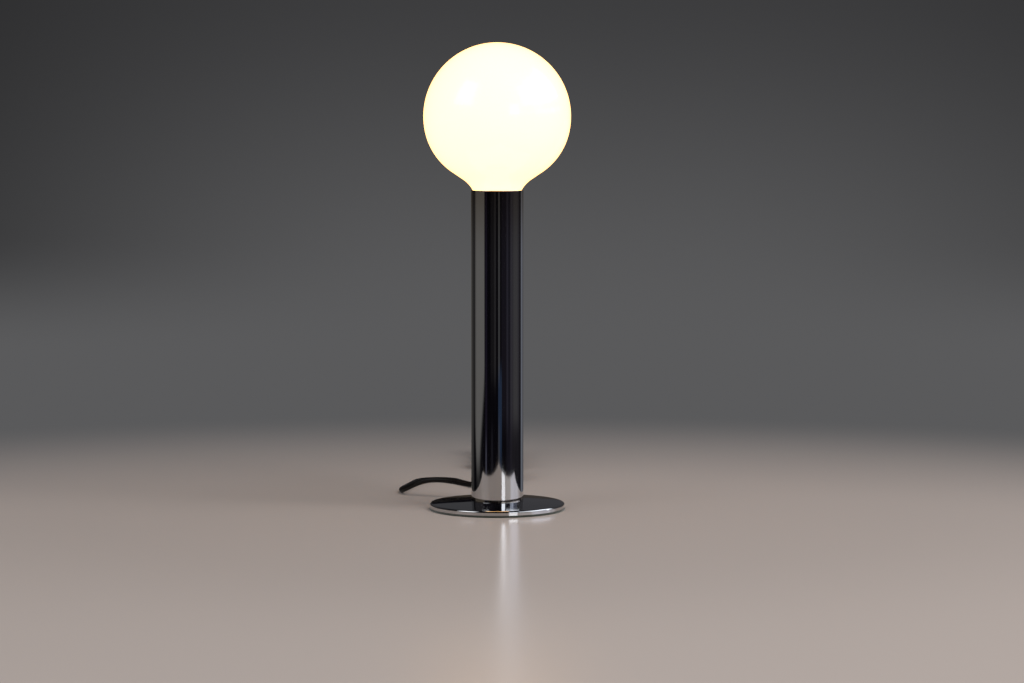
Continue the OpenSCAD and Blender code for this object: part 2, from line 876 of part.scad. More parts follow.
// Black glass insulator in the foot of the cap
module bulb_insulator() {
    flange_r = insulator_r + 0.4;
    flange_z = cap_foot_z + cap_wall + seat;
    color("black")
        rotate_extrude()
            polygon([
                [0, contact_z + button_h], [button_r + 0.4, contact_z + button_h],
                [insulator_r, cap_foot_z], [insulator_r, flange_z], [flange_r, flange_z],
                [flange_r, cap_foot_z + 3], [0, cap_foot_z + 3]
            ]);
}

// Soldered contact at the very foot of the bulb, slightly domed
module bulb_button() {
    dome_r = 12;
    color("gainsboro")
        rotate_extrude($fn = few)
            intersection() {
                translate([0, contact_z + dome_r])
                    circle(r = dome_r, $fn = 180);
                square_from_to(contact_z, contact_z + button_h - seat, button_r);
            }
}

// Glass mount: a flare that closes the neck, a tube, and a bead for the support wires
module bulb_mount() {
    flare_z = cap_rim_z - glass_stub + 2;
    flare_r = stub_r - glass_t - seat;
    stem_r = 4;
    color("lightblue")
        rotate_extrude($fn = few)
            difference() {
                union() {
                    polygon([
                        [0, flare_z], [flare_r, flare_z], [flare_r, flare_z + 1], [stem_r + 2, flare_z + 10],
                        [stem_r, flare_z + 20], [stem_r, bead_z - 14], [1.6, bead_z - 8], [1.6, bead_z],
                        [0, bead_z]
                    ]);
                    intersection() {
                        translate([0, bead_z])
                            circle(r = 3);
                        square_from_to(bead_z - 3, bead_z + 3, 3);
                    }
                }
                polygon([
                    [0, flare_z - cut], [flare_r - 1, flare_z - cut], [flare_r - 1, flare_z + 0.6],
                    [stem_r + 1, flare_z + 9.6], [stem_r - 1, flare_z + 20], [stem_r - 1, flare_z + 30],
                    [0, flare_z + 30]
                ]);
            }
}

// Molybdenum wires that fan out from the bead to the filament, the outer two being the lead-ins
module support_wires() {
    wire_r = 0.3;
    color("gray")
        for (a = [-130, -65, 0, 65, 130])
            rotate(a)
                swept(
                    [
                        [2.2, 0, bead_z], [6, 0, bead_z + 3], [filament_r - 1.5, 0, globe_z - 8.5],
                        [filament_r - 0.95, 0, globe_z - 6]
                    ],
                    wire_r, 6, [0, 1, 0]
                );
}

// Coiled tungsten filament, as the thin arc that its coils fill
module filament() {
    coil_r = 0.6;
    arc = [for (a = [-134 : 11.5 : 134]) [filament_r * cos(a), filament_r * sin(a), globe_z - 6]];
    color("orange")
        swept(arc, coil_r, 6);
}

// The free cord from the strain relief to the switch
module cord_lead() {
    color("black")
        swept(lead_route, cord_r, 8);
}

// The free cord from the switch to the hank
module cord_link() {
    color("black")
        swept(
            concat(link_route, [for (k = [2, 1]) hank_start() - [0, k * cord_d, 0]]),
            cord_r, 8
        );
}

// Lane of the hank at a count of turns: in and out again at a steady rate, in lane steps
function lane(t) =
    t <= reversals[0] ? reversals[0] - t
    : t <= reversals[1] ? t - reversals[0]
    : t <= reversals[2] ? reversals[2] - t
    : t - reversals[2];

// Share of a climb that is done, eased at both of its ends
function eased(s) = let (c = max(0, min(1, s))) c * c * (3 - 2 * c);

// Layers climbed at a count of turns: one along the run in which each reversal lies
function climbed(t) = ease_sum([for (r = reversals) eased((t - r) / run_share + 0.5)]);
function ease_sum(v, i = 0) = i < len(v) ? v[i] + ease_sum(v, i + 1) : 0;

// How far the runs are drawn in at a place along them
function drawn_in(y) = abs(y) < run_l / 2 ? waist_draw * (1 + cos(360 * y / run_l)) / 2 : 0;

// Place of the cord's middle line in the hank, from the middle of the hank's run in plan
function hank_point(t) =
    let (
        r = lane_r + lane(t) * lane_step,
        part = t - floor(t + run_share / 2),
        z = hank_floor_z + climbed(t) * layer_h,
        fold = 0.5 - run_share,
        run_y = run_l * part / run_share,
        back_y = -run_l * (part - 0.5) / run_share,
        far_a = 180 * (part - run_share / 2) / fold,
        near_a = 180 + 180 * (part - 0.5 - run_share / 2) / fold
    )
    part <= run_share / 2 ? [r - drawn_in(run_y), run_y, z]
    : part < 0.5 - run_share / 2 ? [r * cos(far_a), run_l / 2 + r * sin(far_a), z]
    : part <= 0.5 + run_share / 2 ? [-r + drawn_in(back_y), back_y, z]
    : [r * cos(near_a), -run_l / 2 + r * sin(near_a), z];

hank_middle = [0, hank_y + run_l / 2, 0];
function hank_place(t) = hank_middle + hank_point(t);
function hank_start() = hank_place(-run_share / 2);
function hank_end() = hank_place(hank_turns - run_share / 2);

// Least distance between parts of the hank over half a turn apart, less the cord's diameter
function least_gap(points, skip) =
    min([
        for (i = [0 : len(points) - 1 - skip])
            min([for (j = [i + skip : len(points) - 1]) norm(points[i] - points[j])])
    ]) - cord_d;

// The hank's five loops as one unbroken tube
module cord_hank() {
    rings = hank_turns * loop_rings;
    turns = [for (k = [0 : rings]) k / loop_rings - run_share / 2];
    fine = [for (k = [0 : 4 * rings]) hank_place(k / (4 * loop_rings) - run_share / 2)];
    echo(str("Least gap of the hank to itself: ", least_gap(fine, 2 * loop_rings), " mm"));
    start = hank_start();
    end = hank_end();
    color("black")
        swept(
            concat(
                [start - [0, cord_d, 0]], [for (t = turns) hank_place(t)], [end + [0, cord_d, 0]]
            ),
            cord_r, 6
        );
}

// The free cord from the top of the hank to the plug
module cord_tail() {
    start = hank_end();
    color("black")
        swept(
            concat(
                [start + [0, cord_d, 0], start + [0, 2 * cord_d, 0]], tail_route,
                [[0, plug_relief_y - cord_d, plug_z], [0, plug_relief_y, plug_z]]
            ),
            cord_r, 8
        );
}

// Flat band closed round the waist of the hank
module hank_tie() {
    gap = 0.35;
    left = lane_r + 1.5 * lane_step - waist_draw + cord_r + gap;
    right = lane_r + lane_step - waist_draw + cord_r + gap;
    low = hank_floor_z - cord_r - seat;
    high = hank_floor_z + len(reversals) * layer_h + cord_r + seat;
    inside = [left + right, high - low];
    corner = 1.6;
    color("dimgray")
        translate([(right - left) / 2, hank_middle[1] + tie_w / 2, (low + high) / 2])
            rotate([90, 0, 0])
                linear_extrude(tie_w)
                    difference() {
                        round_rect(inside + 2 * [tie_t, tie_t], corner + tie_t);
                        round_rect(inside, corner);
                    }
}

// Outside of the closed switch, as three rounded outlines that cross
module switch_form(inset) {
    l = switch_l - 2 * inset;
    w = switch_w - 2 * inset;
    h = switch_h - 2 * inset;
    plan_r = 9 - inset;
    edge_r = 3.5 - inset / 2;
    intersection() {
        translate([0, 0, inset])
            linear_extrude(h)
                round_rect([w, l], plan_r);
        translate([0, l / 2, switch_h / 2])
            rotate([90, 0, 0])
                linear_extrude(l)
                    round_rect([w, h], edge_r);
        translate([-w / 2, 0, switch_h / 2])
            rotate([90, 0, 90])
                linear_extrude(w)
                    round_rect([l, h], edge_r);
    }
}

// Moves its children to the switch's place on the table
module at_switch() {
    translate([switch_x, rocker_y, 0])
        children();
}

// The places of the switch's four screws
module at_switch_screws() {
    for (x = [-1, 1], y = [-1, 1])
        translate([x * (switch_w / 2 - pillar_inset), y * clamp_y, 0])
            children();
}

// The hollow of the switch with the cord's way in at each end
module switch_hollow() {
    switch_form(switch_wall);
    translate([0, switch_l, switch_split])
        rotate([90, 0, 0])
            cylinder(r = cord_r + play, h = 2 * switch_l, $fn = few);
}

// Half of the switch's form, between two heights
module switch_half(from, to) {
    intersection() {
        switch_form(0);
        translate([-switch_w, -switch_l, from])
            cube([2 * switch_w, 2 * switch_l, to - from]);
    }
}

// Lower shell: four screw pillars, and a saddle at each end that carries the cord
module switch_base() {
    pillar_foot = switch_wall / 2;
    saddle_w = 8;
    saddle_t = 2;
    saddle_y = switch_l / 2 - grip_l + saddle_t / 2;
    shank_hole_d = 2.6;
    head_hole_d = 4.6;
    head_hole_h = 1.6;
    color("white")
        at_switch()
            difference() {
                union() {
                    difference() {
                        switch_half(0, switch_split);
                        switch_hollow();
                    }
                    at_switch_screws()
                        translate([0, 0, pillar_foot])
                            cylinder(d = pillar_d, h = switch_split - seat - pillar_foot, $fn = few);
                    for (y = [-saddle_y, saddle_y])
                        translate([-saddle_w / 2, y - saddle_t / 2, pillar_foot])
                            cube([saddle_w, saddle_t, switch_split - cord_r - seat - pillar_foot]);
                }
                at_switch_screws() {
                    translate([0, 0, -cut])
                        cylinder(d = shank_hole_d, h = switch_h, $fn = few);
                    translate([0, 0, -cut])
                        cylinder(d = head_hole_d, h = cut + head_hole_h, $fn = few);
                }
            }
}

// Upper shell: the window for the rocker, two ears for its trunnions and four screw bosses
module switch_cover() {
    ear_x = rocker_w / 2 + play;
    ear_half = 3;
    pilot_d = 2;
    pilot_h = 6;
    color("white")
        at_switch()
            difference() {
                union() {
                    difference() {
                        switch_half(switch_split, switch_h);
                        switch_hollow();
                    }
                    intersection() {
                        switch_form(switch_wall / 2);
                        union() {
                            at_switch_screws()
                                translate([0, 0, switch_split])
                                    cylinder(d = pillar_d, h = switch_h, $fn = few);
                            for (x = [-ear_x - ear_t, ear_x])
                                translate([x, -ear_half, rocker_z - ear_half])
                                    cube([ear_t, 2 * ear_half, 2 * ear_half]);
                        }
                    }
                }
                translate([-ear_x, -rocker_l / 2 - play, rocker_z - 2 * ear_half])
                    cube([2 * ear_x, rocker_l + 2 * play, switch_h]);
                translate([-ear_x - ear_t, 0, rocker_z])
                    rotate([0, 90, 0])
                        cylinder(r = trunnion_r + trunnion_play, h = 2 * (ear_x + ear_t), $fn = few);
                at_switch_screws()
                    translate([0, 0, switch_split - cut])
                        cylinder(d = pilot_d, h = pilot_h + cut, $fn = few);
            }
}

// Side view of the rocker about its pivot, level: a dished top, sloped ends and a stem below
module rocker_side() {
    top_half = rocker_l / 2 - 0.8;
    low_half = rocker_l / 2 - 1.2;
    stem_half = 2;
    root_half = 2.8;
    top = 3.2;
    dish_top = 2.2;
    low = -1.2;
    root = -2.2;
    dish_r = 40;
    difference() {
        polygon([
            [-top_half, top], [top_half, top], [low_half, low], [root_half, root],
            [stem_half, -stem_l], [-stem_half, -stem_l], [-root_half, root], [-low_half, low]
        ]);
        translate([0, dish_top + dish_r])
            circle(r = dish_r, $fn = 360);
    }
}

// Moves its children to the rocker's pivot, at the tilt of the switch when it is on
module at_pivot() {
    at_switch()
        translate([0, 0, rocker_z])
            rotate([-rocker_tilt, 0, 0])
                children();
}

// Rocker, pressed down at its rear end: it turns on two trunnions in the ears of the cover
module switch_rocker() {
    trunnion_l = rocker_w + 2 * (play + ear_t - 0.1);
    color("white")
        at_pivot() {
            translate([-rocker_w / 2, 0, 0])
                rotate([90, 0, 90])
                    linear_extrude(rocker_w)
                        rocker_side();
            translate([-trunnion_l / 2, 0, 0])
                rotate([0, 90, 0])
                    cylinder(r = trunnion_r, h = trunnion_l, $fn = few);
        }
}

// Contact blade riveted under the rocker's stem, which closes on the rear post
module switch_blade() {
    color("goldenrod")
        at_pivot()
            translate([-blade_w / 2, 0, -stem_l])
                rotate([90, 0, 90])
                    linear_extrude(blade_w)
                        polygon([
                            [-3, 0], [-3, -blade_t], [blade_l, -blade_t], [blade_l, 0]
                        ]);
}

// Fixed contact: a clamp block, a rail along the floor and a post. The middles of the block and of
// the post, and the post's height, are given.
module fixed_contact(block_y, post_y, post_h) {
    low = min(block_y, post_y) - post_t / 2;
    high = max(block_y, post_y) + post_t / 2;
    rail_t = 0.8;
    block_w = 5;
    block_h = 3;
    translate([-blade_w / 2, low, switch_wall])
        cube([blade_w, high - low, rail_t]);
    translate([-blade_w / 2, post_y - post_t / 2, switch_wall])
        cube([blade_w, post_t, post_h]);
    translate([-block_w / 2, block_y - block_w / 2, switch_wall])
        cube([block_w, block_w, block_h]);
}

// The rear post stands under the blade's tip and the front one under the pivot
module switch_contacts() {
    tip_drop = blade_l * sin(rocker_tilt) + (stem_l + blade_t) * cos(rocker_tilt);
    tip_y = blade_l * cos(rocker_tilt) - (stem_l + blade_t) * sin(rocker_tilt);
    middle_drop = (stem_l + blade_t) / cos(rocker_tilt) + post_t / 2 * tan(rocker_tilt);
    foot = rocker_z - switch_wall - play;
    color("gold")
        at_switch() {
            fixed_contact(clamp_y, tip_y - post_t / 2, foot - tip_drop);
            fixed_contact(-clamp_y, 0, foot - middle_drop);
        }
}

// Four small screws that hold the shells together, sunk from below
module switch_screws() {
    sunk = 0.4;
    head_d = 4.2;
    head_h = 1.2;
    thread_d = 1.9;
    thread_l = 10;
    slot_w = 0.6;
    slot_h = 0.5;
    color("silver")
        at_switch()
            at_switch_screws()
                translate([0, 0, sunk])
                    difference() {
                        union() {
                            cylinder(d = head_d, h = head_h, $fn = few);
                            cylinder(d = thread_d, h = thread_l, $fn = few);
                        }
                        translate([-head_d, -slot_w / 2, -cut])
                            cube([2 * head_d, slot_w, cut + slot_h]);
                    }
}

// Half section of the plug's strain relief along its axis, with flexing grooves
module plug_relief_section() {
    tip_r = cord_r + 0.8;
    foot_r = 4.3;
    groove_foot_r = cord_r + 0.4;
    grooves = 6;
    groove_w = 1.3;
    foot_l = 3;
    pitch = (plug_relief_l - foot_l) / grooves;
    difference() {
        polygon([[0, 0], [tip_r, 0], [foot_r, plug_relief_l], [0, plug_relief_l]]);
        for (k = [1 : grooves])
            translate([groove_foot_r, k * pitch - groove_w])
                square([foot_r, groove_w]);
    }
}

// Plan of the plug's body: broad at the face, waisted for the fingers, narrow at the cord
module plug_plan() {
    half = plug_w / 2;
    tail_half = 6.5;
    face_l = 7;
    grip_r = 24;
    grip_depth = 4.4;
    grip_y = plug_l * 0.3;
    difference() {
        polygon([
            [-half, plug_l], [half, plug_l], [half, plug_l - face_l], [tail_half, 0],
            [-tail_half, 0], [-half, plug_l - face_l]
        ]);
        for (side = [-1, 1])
            translate([side * (half + grip_r - grip_depth), grip_y])
                circle(r = grip_r, $fn = 180);
    }
}

// Face of the plug's body: a flat six-sided outline
module plug_face() {
    half = plug_w / 2;
    high = plug_t / 2;
    nose = 2.6;
    polygon([
        [-half, -nose], [-half + high - nose, -high], [half - high + nose, -high], [half, -nose],
        [half, nose], [half - high + nose, high], [-half + high - nose, high], [-half, nose]
    ]);
}

// Side view of the plug's body: it thins towards the cord
module plug_side() {
    high = plug_t / 2;
    tail_high = 4.6;
    slope_l = plug_l * 0.55;
    polygon([
        [0, -tail_high], [slope_l, -high], [plug_l, -high],
        [plug_l, high], [slope_l, high], [0, tail_high]
    ]);
}

// Moulded body of the plug and its strain relief, in one with each other
module plug_body() {
    color("black")
        translate([0, plug_y, plug_z])
            difference() {
                union() {
                    intersection() {
                        translate([0, 0, -plug_t])
                            linear_extrude(2 * plug_t)
                                plug_plan();
                        translate([0, plug_l, 0])
                            rotate([90, 0, 0])
                                linear_extrude(plug_l)
                                    plug_face();
                        rotate([90, 0, 90])
                            translate([0, 0, -plug_w])
                                linear_extrude(2 * plug_w)
                                    plug_side();
                    }
                    translate([0, -plug_relief_l, 0])
                        rotate([-90, 0, 0])
                            rotate_extrude($fn = few)
                                plug_relief_section();
                }
                for (x = [-pin_gap / 2, pin_gap / 2])
                    translate([x, plug_l - pin_hold, 0])
                        rotate([-90, 0, 0])
                            cylinder(r = pin_core_d / 2 + seat, h = pin_hold + cut, $fn = few);
            }
}

// Brass pins: a thinner core under the sleeve, full size at the tip, with a rounded end
module plug_pins() {
    tip_y = plug_l + pin_l;
    round_r = 1.2;
    color("gold")
        for (x = [-pin_gap / 2, pin_gap / 2])
            translate([x, plug_y, plug_z])
                rotate([-90, 0, 0])
                    rotate_extrude($fn = few) {
                        square_from_to(plug_l - pin_hold, plug_l + sleeve_l, pin_core_d / 2);
                        square_from_to(plug_l + sleeve_l, tip_y - round_r, pin_d / 2);
                        square_from_to(tip_y - round_r, tip_y, pin_d / 2 - round_r);
                        intersection() {
                            translate([pin_d / 2 - round_r, tip_y - round_r])
                                circle(r = round_r, $fn = few);
                            translate([0, tip_y - round_r])
                                square([pin_d, round_r]);
                        }
                    }
}

// Insulating sleeves on the inner half of the pins
module pin_sleeves() {
    color("black")
        for (x = [-pin_gap / 2, pin_gap / 2])
            translate([x, plug_y + plug_l, plug_z])
                rotate([-90, 0, 0])
                    difference() {
                        cylinder(d = sleeve_d, h = sleeve_l, $fn = few);
                        translate([0, 0, -cut])
                            cylinder(d = pin_core_d, h = sleeve_l + 2 * cut, $fn = few);
                    }
}

felt_pad();
base_disc();
base_screws();
foot_weight();
stem_tube();
cord_bushing();
inner_cord();
lamp_pipe();
pipe_nuts();
centring_plate();
holder_dome();
holder_insert();
holder_barrel();
centre_contact();
side_contact();
terminal_blocks();
terminal_screws();
live_wire();
neutral_wire();
bulb_globe();
bulb_cap();
bulb_insulator();
bulb_button();
bulb_mount();
support_wires();
filament();
cord_lead();
switch_base();
switch_cover();
switch_rocker();
switch_contacts();
switch_blade();
switch_screws();
cord_link();
cord_hank();
hank_tie();
cord_tail();
plug_body();
plug_pins();
pin_sleeves();
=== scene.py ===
"""Cylinder table lamp: a chromed tube on a thin chromed disc, with a lit opal globe in its mouth.

Metres, +Z up. The origin is the middle of the felt's underside, and the cord leaves at +Y.
"""
import math
import random

import bpy
import bmesh
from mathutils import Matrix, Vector


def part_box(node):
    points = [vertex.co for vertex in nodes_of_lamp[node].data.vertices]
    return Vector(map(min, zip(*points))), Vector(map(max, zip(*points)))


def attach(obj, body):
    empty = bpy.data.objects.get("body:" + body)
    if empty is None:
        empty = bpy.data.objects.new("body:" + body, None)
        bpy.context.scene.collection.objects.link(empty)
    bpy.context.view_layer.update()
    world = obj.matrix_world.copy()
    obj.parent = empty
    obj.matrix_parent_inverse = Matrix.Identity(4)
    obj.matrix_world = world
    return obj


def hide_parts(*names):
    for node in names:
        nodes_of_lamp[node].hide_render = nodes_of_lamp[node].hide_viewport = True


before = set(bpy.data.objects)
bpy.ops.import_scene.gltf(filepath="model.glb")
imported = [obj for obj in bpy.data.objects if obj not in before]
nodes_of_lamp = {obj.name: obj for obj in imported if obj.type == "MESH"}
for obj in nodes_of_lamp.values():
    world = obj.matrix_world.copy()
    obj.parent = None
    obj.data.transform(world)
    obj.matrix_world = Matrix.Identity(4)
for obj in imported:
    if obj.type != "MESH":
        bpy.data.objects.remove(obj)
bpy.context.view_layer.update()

# The view: a long lens at the height of the globe, almost three metres in front of the lamp,
# tipped a few degrees down. The lamp stands a little to the left of the picture's middle.
MM = 0.001
VIEW_WIDTH_PX = 1024
FOCAL_PX = 3123
SENSOR_WIDTH = 36
VIEW_PLACE = (12.56 * MM, -2650.8 * MM, 354.7 * MM)
VIEW_TIP = math.radians(4.553)

lens = bpy.data.cameras.new("view")
lens.sensor_width = SENSOR_WIDTH
lens.lens = FOCAL_PX * SENSOR_WIDTH / VIEW_WIDTH_PX
lens.clip_start = 0.05
lens.clip_end = 50
camera = bpy.data.objects.new("view", lens)
camera.location = VIEW_PLACE
camera.rotation_euler = (math.pi / 2 - VIEW_TIP, 0, 0)
bpy.context.scene.collection.objects.link(camera)
bpy.context.scene.camera = camera
bpy.context.scene.view_settings.view_transform = "Standard"

# The studio: a soft grey room, a little darker above and to the sides. The chrome mirrors upright
# bands of light instead. Each has its left and right side in degrees from the front, how softly
# either side ends, its lowest and highest angle, and its colour.
ROOM_GREY = (0.102, 0.102, 0.105)
ROOM_TOP_GREY = (0.043, 0.043, 0.045)
ROOM_SIDE_GREY = (0.020, 0.020, 0.021)
ROOM_GREY_BELOW = -4.7
ROOM_SIDE_ABOVE = -2.5
ROOM_TOP_ABOVE = 2.8
ROOM_AMBIENT = (0.50, 0.50, 0.51)
ROOM_DARK = (0.0035, 0.003, 0.0045)
BAND_EDGE = 0.25
LEAST_SOFTNESS = 0.01
ALL_UP = 60
ALL_DOWN = -40
ROOM_BANDS = [
    (-180, -152, 0, 10, ALL_DOWN, 3.1, (0.040, 0.037, 0.034)),
    (-180, -132, 0, 12, ALL_DOWN, 3.1, (0.035, 0.033, 0.030)),
    (-180, -140, 0, 20, 9.1, ALL_UP, (0.050, 0.050, 0.053)),
    (-112, -68, 10, 8, 4, 25, (0.030, 0.028, 0.030)),
    (-60, -20, 8, 15, 4, 17, (0.006, 0.0055, 0.007)),
    (-53, -46.5, 3, 3, ALL_DOWN, 4, (0.009, 0.007, 0.014)),
    (-51.5, -49.5, 3, 3, -8, -6.4, (0.060, 0.064, 0.080)),
    (-26, -6, 6, 3, -5.3, 4, (0.008, 0.0075, 0.0075)),
    (-12, -7, 3, 3, -5.3, 4, (0.015, 0.0145, 0.0145)),
    (-26, -20, 3, 3, -8, -6.2, (0.010, 0.010, 0.013)),
    (5.5, 10.5, 2.5, 3, -5.2, 4, (0.056, 0.056, 0.056)),
    (5.5, 10.5, 2.5, 3, -8, -6.1, (0.030, 0.022, 0.008)),
    (6, 18, 3, 4, -6.9, -5.1, (0.018, 0.034, 0.068)),
    (21, 44, 5, 6, -6.1, 4, (0.008, 0.007, 0.010)),
    (44, 49, 4, 5, -6.1, 4, (0.012, 0.012, 0.015)),
    (44, 62, 6, 12, ALL_DOWN, 4, (0.007, 0.0065, 0.010)),
    (66, 108, 12, 14, -6.1, 4, (0.025, 0.024, 0.027)),
    (66, 108, 12, 24, ALL_DOWN, 4, (0.011, 0.010, 0.012)),
    (82, 98, 12, 10, -6.1, 4, (0.020, 0.020, 0.017)),
    (133, 180, 9, 0, ALL_DOWN, 4, (0.085, 0.085, 0.090)),
    (104, 180, 8, 0, 4, ALL_UP, (0.050, 0.050, 0.054)),
    (133, 144, 9, 8, ALL_DOWN, 4, (0.085, 0.095, 0.120)),
    (20.5, 34.5, 1, 1, 3, 19, (1.8, 1.86, 2.0)),
    (20.5, 34.5, 1, 1, 3, 10, (1.2, 1.22, 1.25)),
    (38, 62, 3, 4, 3, 9.5, (0.55, 0.56, 0.58)),
    (38, 62, 3, 4, 9.5, 15.4, (0.015, 0.016, 0.020)),
    (42, 62, 4, 4, 15.6, 45, (1.25, 1.30, 1.40)),
    (66, 100, 6, 4, 3, 8.8, (1.25, 1.33, 1.60)),
    (62, 74, 4, 6, 8.8, 15.4, (0.42, 0.46, 0.56)),
    (74, 96, 6, 6, 8.8, 15.4, (0.12, 0.13, 0.17)),
    (100, 114, 4, 6, 3, 8.8, (0.60, 0.63, 0.75)),
    (66, 118, 6, 4, 15.6, 50, (1.80, 1.85, 2.00)),
    (-72, -44, 4, 8, 16.2, 50, (2.00, 2.00, 2.05)),
]
# The wall on the left of the room. The dark below it reaches higher towards both of its sides.
WALL_FROM = -101
WALL_TO = -61
WALL_SOFT_LEFT = 24
WALL_SOFT_RIGHT = 5.5
WALL_COLOUR = (0.158, 0.152, 0.143)
WALL_HIGH = 4
WALL_LOW = -6.85
WALL_LOW_EDGE = 0.35
WALL_SLOPE = 0.055
WALL_MIDDLE = -95
WALL_FLAT = 8
# Everything mirrored is darker and browner from these angles up, as far as the lower lamps.
DUSK_FROM = -3.1
DUSK_FULL = -1.5
DUSK_FADES = 4
DUSK_END = 5
DUSK = (0.55, 0.47, 0.38)
# Towards the back the room darkens to the left and to the right, between these shares of the way.
BEHIND_BETWEEN = (0.80, 0.95)
ASIDE_BETWEEN = [(-0.02, -0.26), (0.05, 0.35)]


def math_node(tree, operation, first, second=0.0):
    """One step of arithmetic on sockets or plain numbers."""
    node = tree.nodes.new("ShaderNodeMath")
    node.operation = operation
    for socket, value in zip(node.inputs, (first, second)):
        if isinstance(value, (int, float)):
            socket.default_value = value
        else:
            tree.links.new(value, socket)
    return node.outputs[0]


def soft_step(tree, value, start, end):
    """Nought as far as start, one beyond end, and a smooth rise between them."""
    node = tree.nodes.new("ShaderNodeMapRange")
    node.interpolation_type = "SMOOTHSTEP"
    tree.links.new(value, node.inputs["Value"])
    node.inputs["From Min"].default_value = start
    node.inputs["From Max"].default_value = end
    return node.outputs["Result"]


def mixed_colour(tree, factor, first, second):
    """The first colour where the factor is nought, and the second where it is one."""
    node = tree.nodes.new("ShaderNodeMix")
    node.data_type = "RGBA"
    tree.links.new(factor, node.inputs["Factor"])
    # The node's colour sockets come after those for numbers and for vectors.
    for socket, colour in zip(node.inputs[6:8], (first, second)):
        if isinstance(colour, tuple):
            socket.default_value = (*colour, 1)
        else:
            tree.links.new(colour, socket)
    return node.outputs[2]


world = bpy.data.worlds.new("studio")
world.use_nodes = True
bpy.context.scene.world = world
sky = world.node_tree
sky.nodes.clear()
direction = sky.nodes.new("ShaderNodeSeparateXYZ")
sky.links.new(sky.nodes.new("ShaderNodeTexCoord").outputs["Generated"], direction.inputs[0])
side_x, depth_y, up_z = direction.outputs
azimuth = math_node(sky, "DEGREES", math_node(
    sky, "ARCTAN2", side_x, math_node(sky, "MULTIPLY", depth_y, -1.0)))
rise = math_node(sky, "DEGREES", math_node(sky, "ARCSINE", up_z))


def between(value, low, high, soft_low, soft_high):
    """One where the value lies from low to high, falling softly to nought outside."""
    over = soft_step(sky, value, low - soft_low, low)
    under = soft_step(sky, value, high + soft_high, high)
    return math_node(sky, "MULTIPLY", over, under)


def colour_node(operation, *values):
    """One step of arithmetic on colours, each a socket or a plain colour."""
    node = sky.nodes.new("ShaderNodeVectorMath")
    node.operation = operation
    for socket, value in zip(node.inputs, values):
        if isinstance(value, tuple):
            socket.default_value = value
        else:
            sky.links.new(value, socket)
    return node.outputs[0]


reflected = ROOM_DARK
for left, right, soft_left, soft_right, low, high, colour in ROOM_BANDS:
    share = math_node(
        sky, "MULTIPLY",
        between(azimuth, left, right, soft_left + LEAST_SOFTNESS, soft_right + LEAST_SOFTNESS),
        between(rise, low + BAND_EDGE, high - BAND_EDGE, 2 * BAND_EDGE, 2 * BAND_EDGE),
    )
    reflected = colour_node("MULTIPLY_ADD", share, colour, reflected)
from_wall_middle = math_node(sky, "ABSOLUTE", math_node(sky, "SUBTRACT", azimuth, WALL_MIDDLE))
climb = math_node(sky, "MAXIMUM", math_node(sky, "SUBTRACT", from_wall_middle, WALL_FLAT), 0.0)
above_dark = math_node(sky, "SUBTRACT", rise, math_node(sky, "MULTIPLY", climb, WALL_SLOPE))
wall = math_node(
    sky, "MULTIPLY", between(azimuth, WALL_FROM, WALL_TO, WALL_SOFT_LEFT, WALL_SOFT_RIGHT),
    soft_step(sky, above_dark, WALL_LOW - WALL_LOW_EDGE, WALL_LOW + WALL_LOW_EDGE),
)
below_top = soft_step(sky, rise, WALL_HIGH + BAND_EDGE, WALL_HIGH - BAND_EDGE)
wall = math_node(sky, "MULTIPLY", wall, below_top)
reflected = colour_node("MULTIPLY_ADD", wall, WALL_COLOUR, reflected)
dusk = between(rise, DUSK_FULL, DUSK_FADES, DUSK_FULL - DUSK_FROM, DUSK_END - DUSK_FADES)
reflected = colour_node("MULTIPLY", reflected, mixed_colour(sky, dusk, (1.0, 1.0, 1.0), DUSK))
path = sky.nodes.new("ShaderNodeLightPath")
mirrored = math_node(
    sky, "MAXIMUM", path.outputs["Is Glossy Ray"], path.outputs["Is Transmission Ray"])
upwards = soft_step(sky, rise, ROOM_GREY_BELOW, ROOM_TOP_ABOVE)
seen = mixed_colour(sky, upwards, ROOM_GREY, ROOM_TOP_GREY)
behind = math_node(
    sky, "MULTIPLY", soft_step(sky, depth_y, *BEHIND_BETWEEN),
    soft_step(sky, rise, ROOM_GREY_BELOW, ROOM_SIDE_ABOVE),
)
for near_middle, far_side in ASIDE_BETWEEN:
    aside = math_node(sky, "MULTIPLY", behind, soft_step(sky, side_x, near_middle, far_side))
    seen = mixed_colour(sky, aside, seen, ROOM_SIDE_GREY)
room = mixed_colour(sky, mirrored, ROOM_AMBIENT, reflected)
room = mixed_colour(sky, path.outputs["Is Camera Ray"], room, seen)
backdrop = sky.nodes.new("ShaderNodeBackground")
sky.links.new(room, backdrop.inputs["Color"])
sky.links.new(backdrop.outputs[0], sky.nodes.new("ShaderNodeOutputWorld").inputs["Surface"])

# The soft light comes from two wide panels, the larger one above and to the right of the lamp.
# They light the surfaces only: what the chrome mirrors is in the room's bands.
PANELS = [
    ("key_panel", (1.5, -1.1, 2.1), 1.8, 62, (1.0, 0.98, 0.96)),
    ("fill_panel", (-1.9, -1.5, 1.5), 1.6, 18, (0.96, 0.98, 1.0)),
]
PANELS_AIM = (0, 0, 0.1)
for name, place, width, power, tint in PANELS:
    panel = bpy.data.lights.new(name, "AREA")
    panel.shape = "SQUARE"
    panel.size = width
    panel.energy = power
    panel.color = tint
    panel_object = bpy.data.objects.new(name, panel)
    panel_object.location = place
    aim = Vector(PANELS_AIM) - Vector(place)
    panel_object.rotation_euler = aim.to_track_quat("-Z", "Y").to_euler()
    panel_object.visible_glossy = False
    bpy.context.scene.collection.objects.link(panel_object)

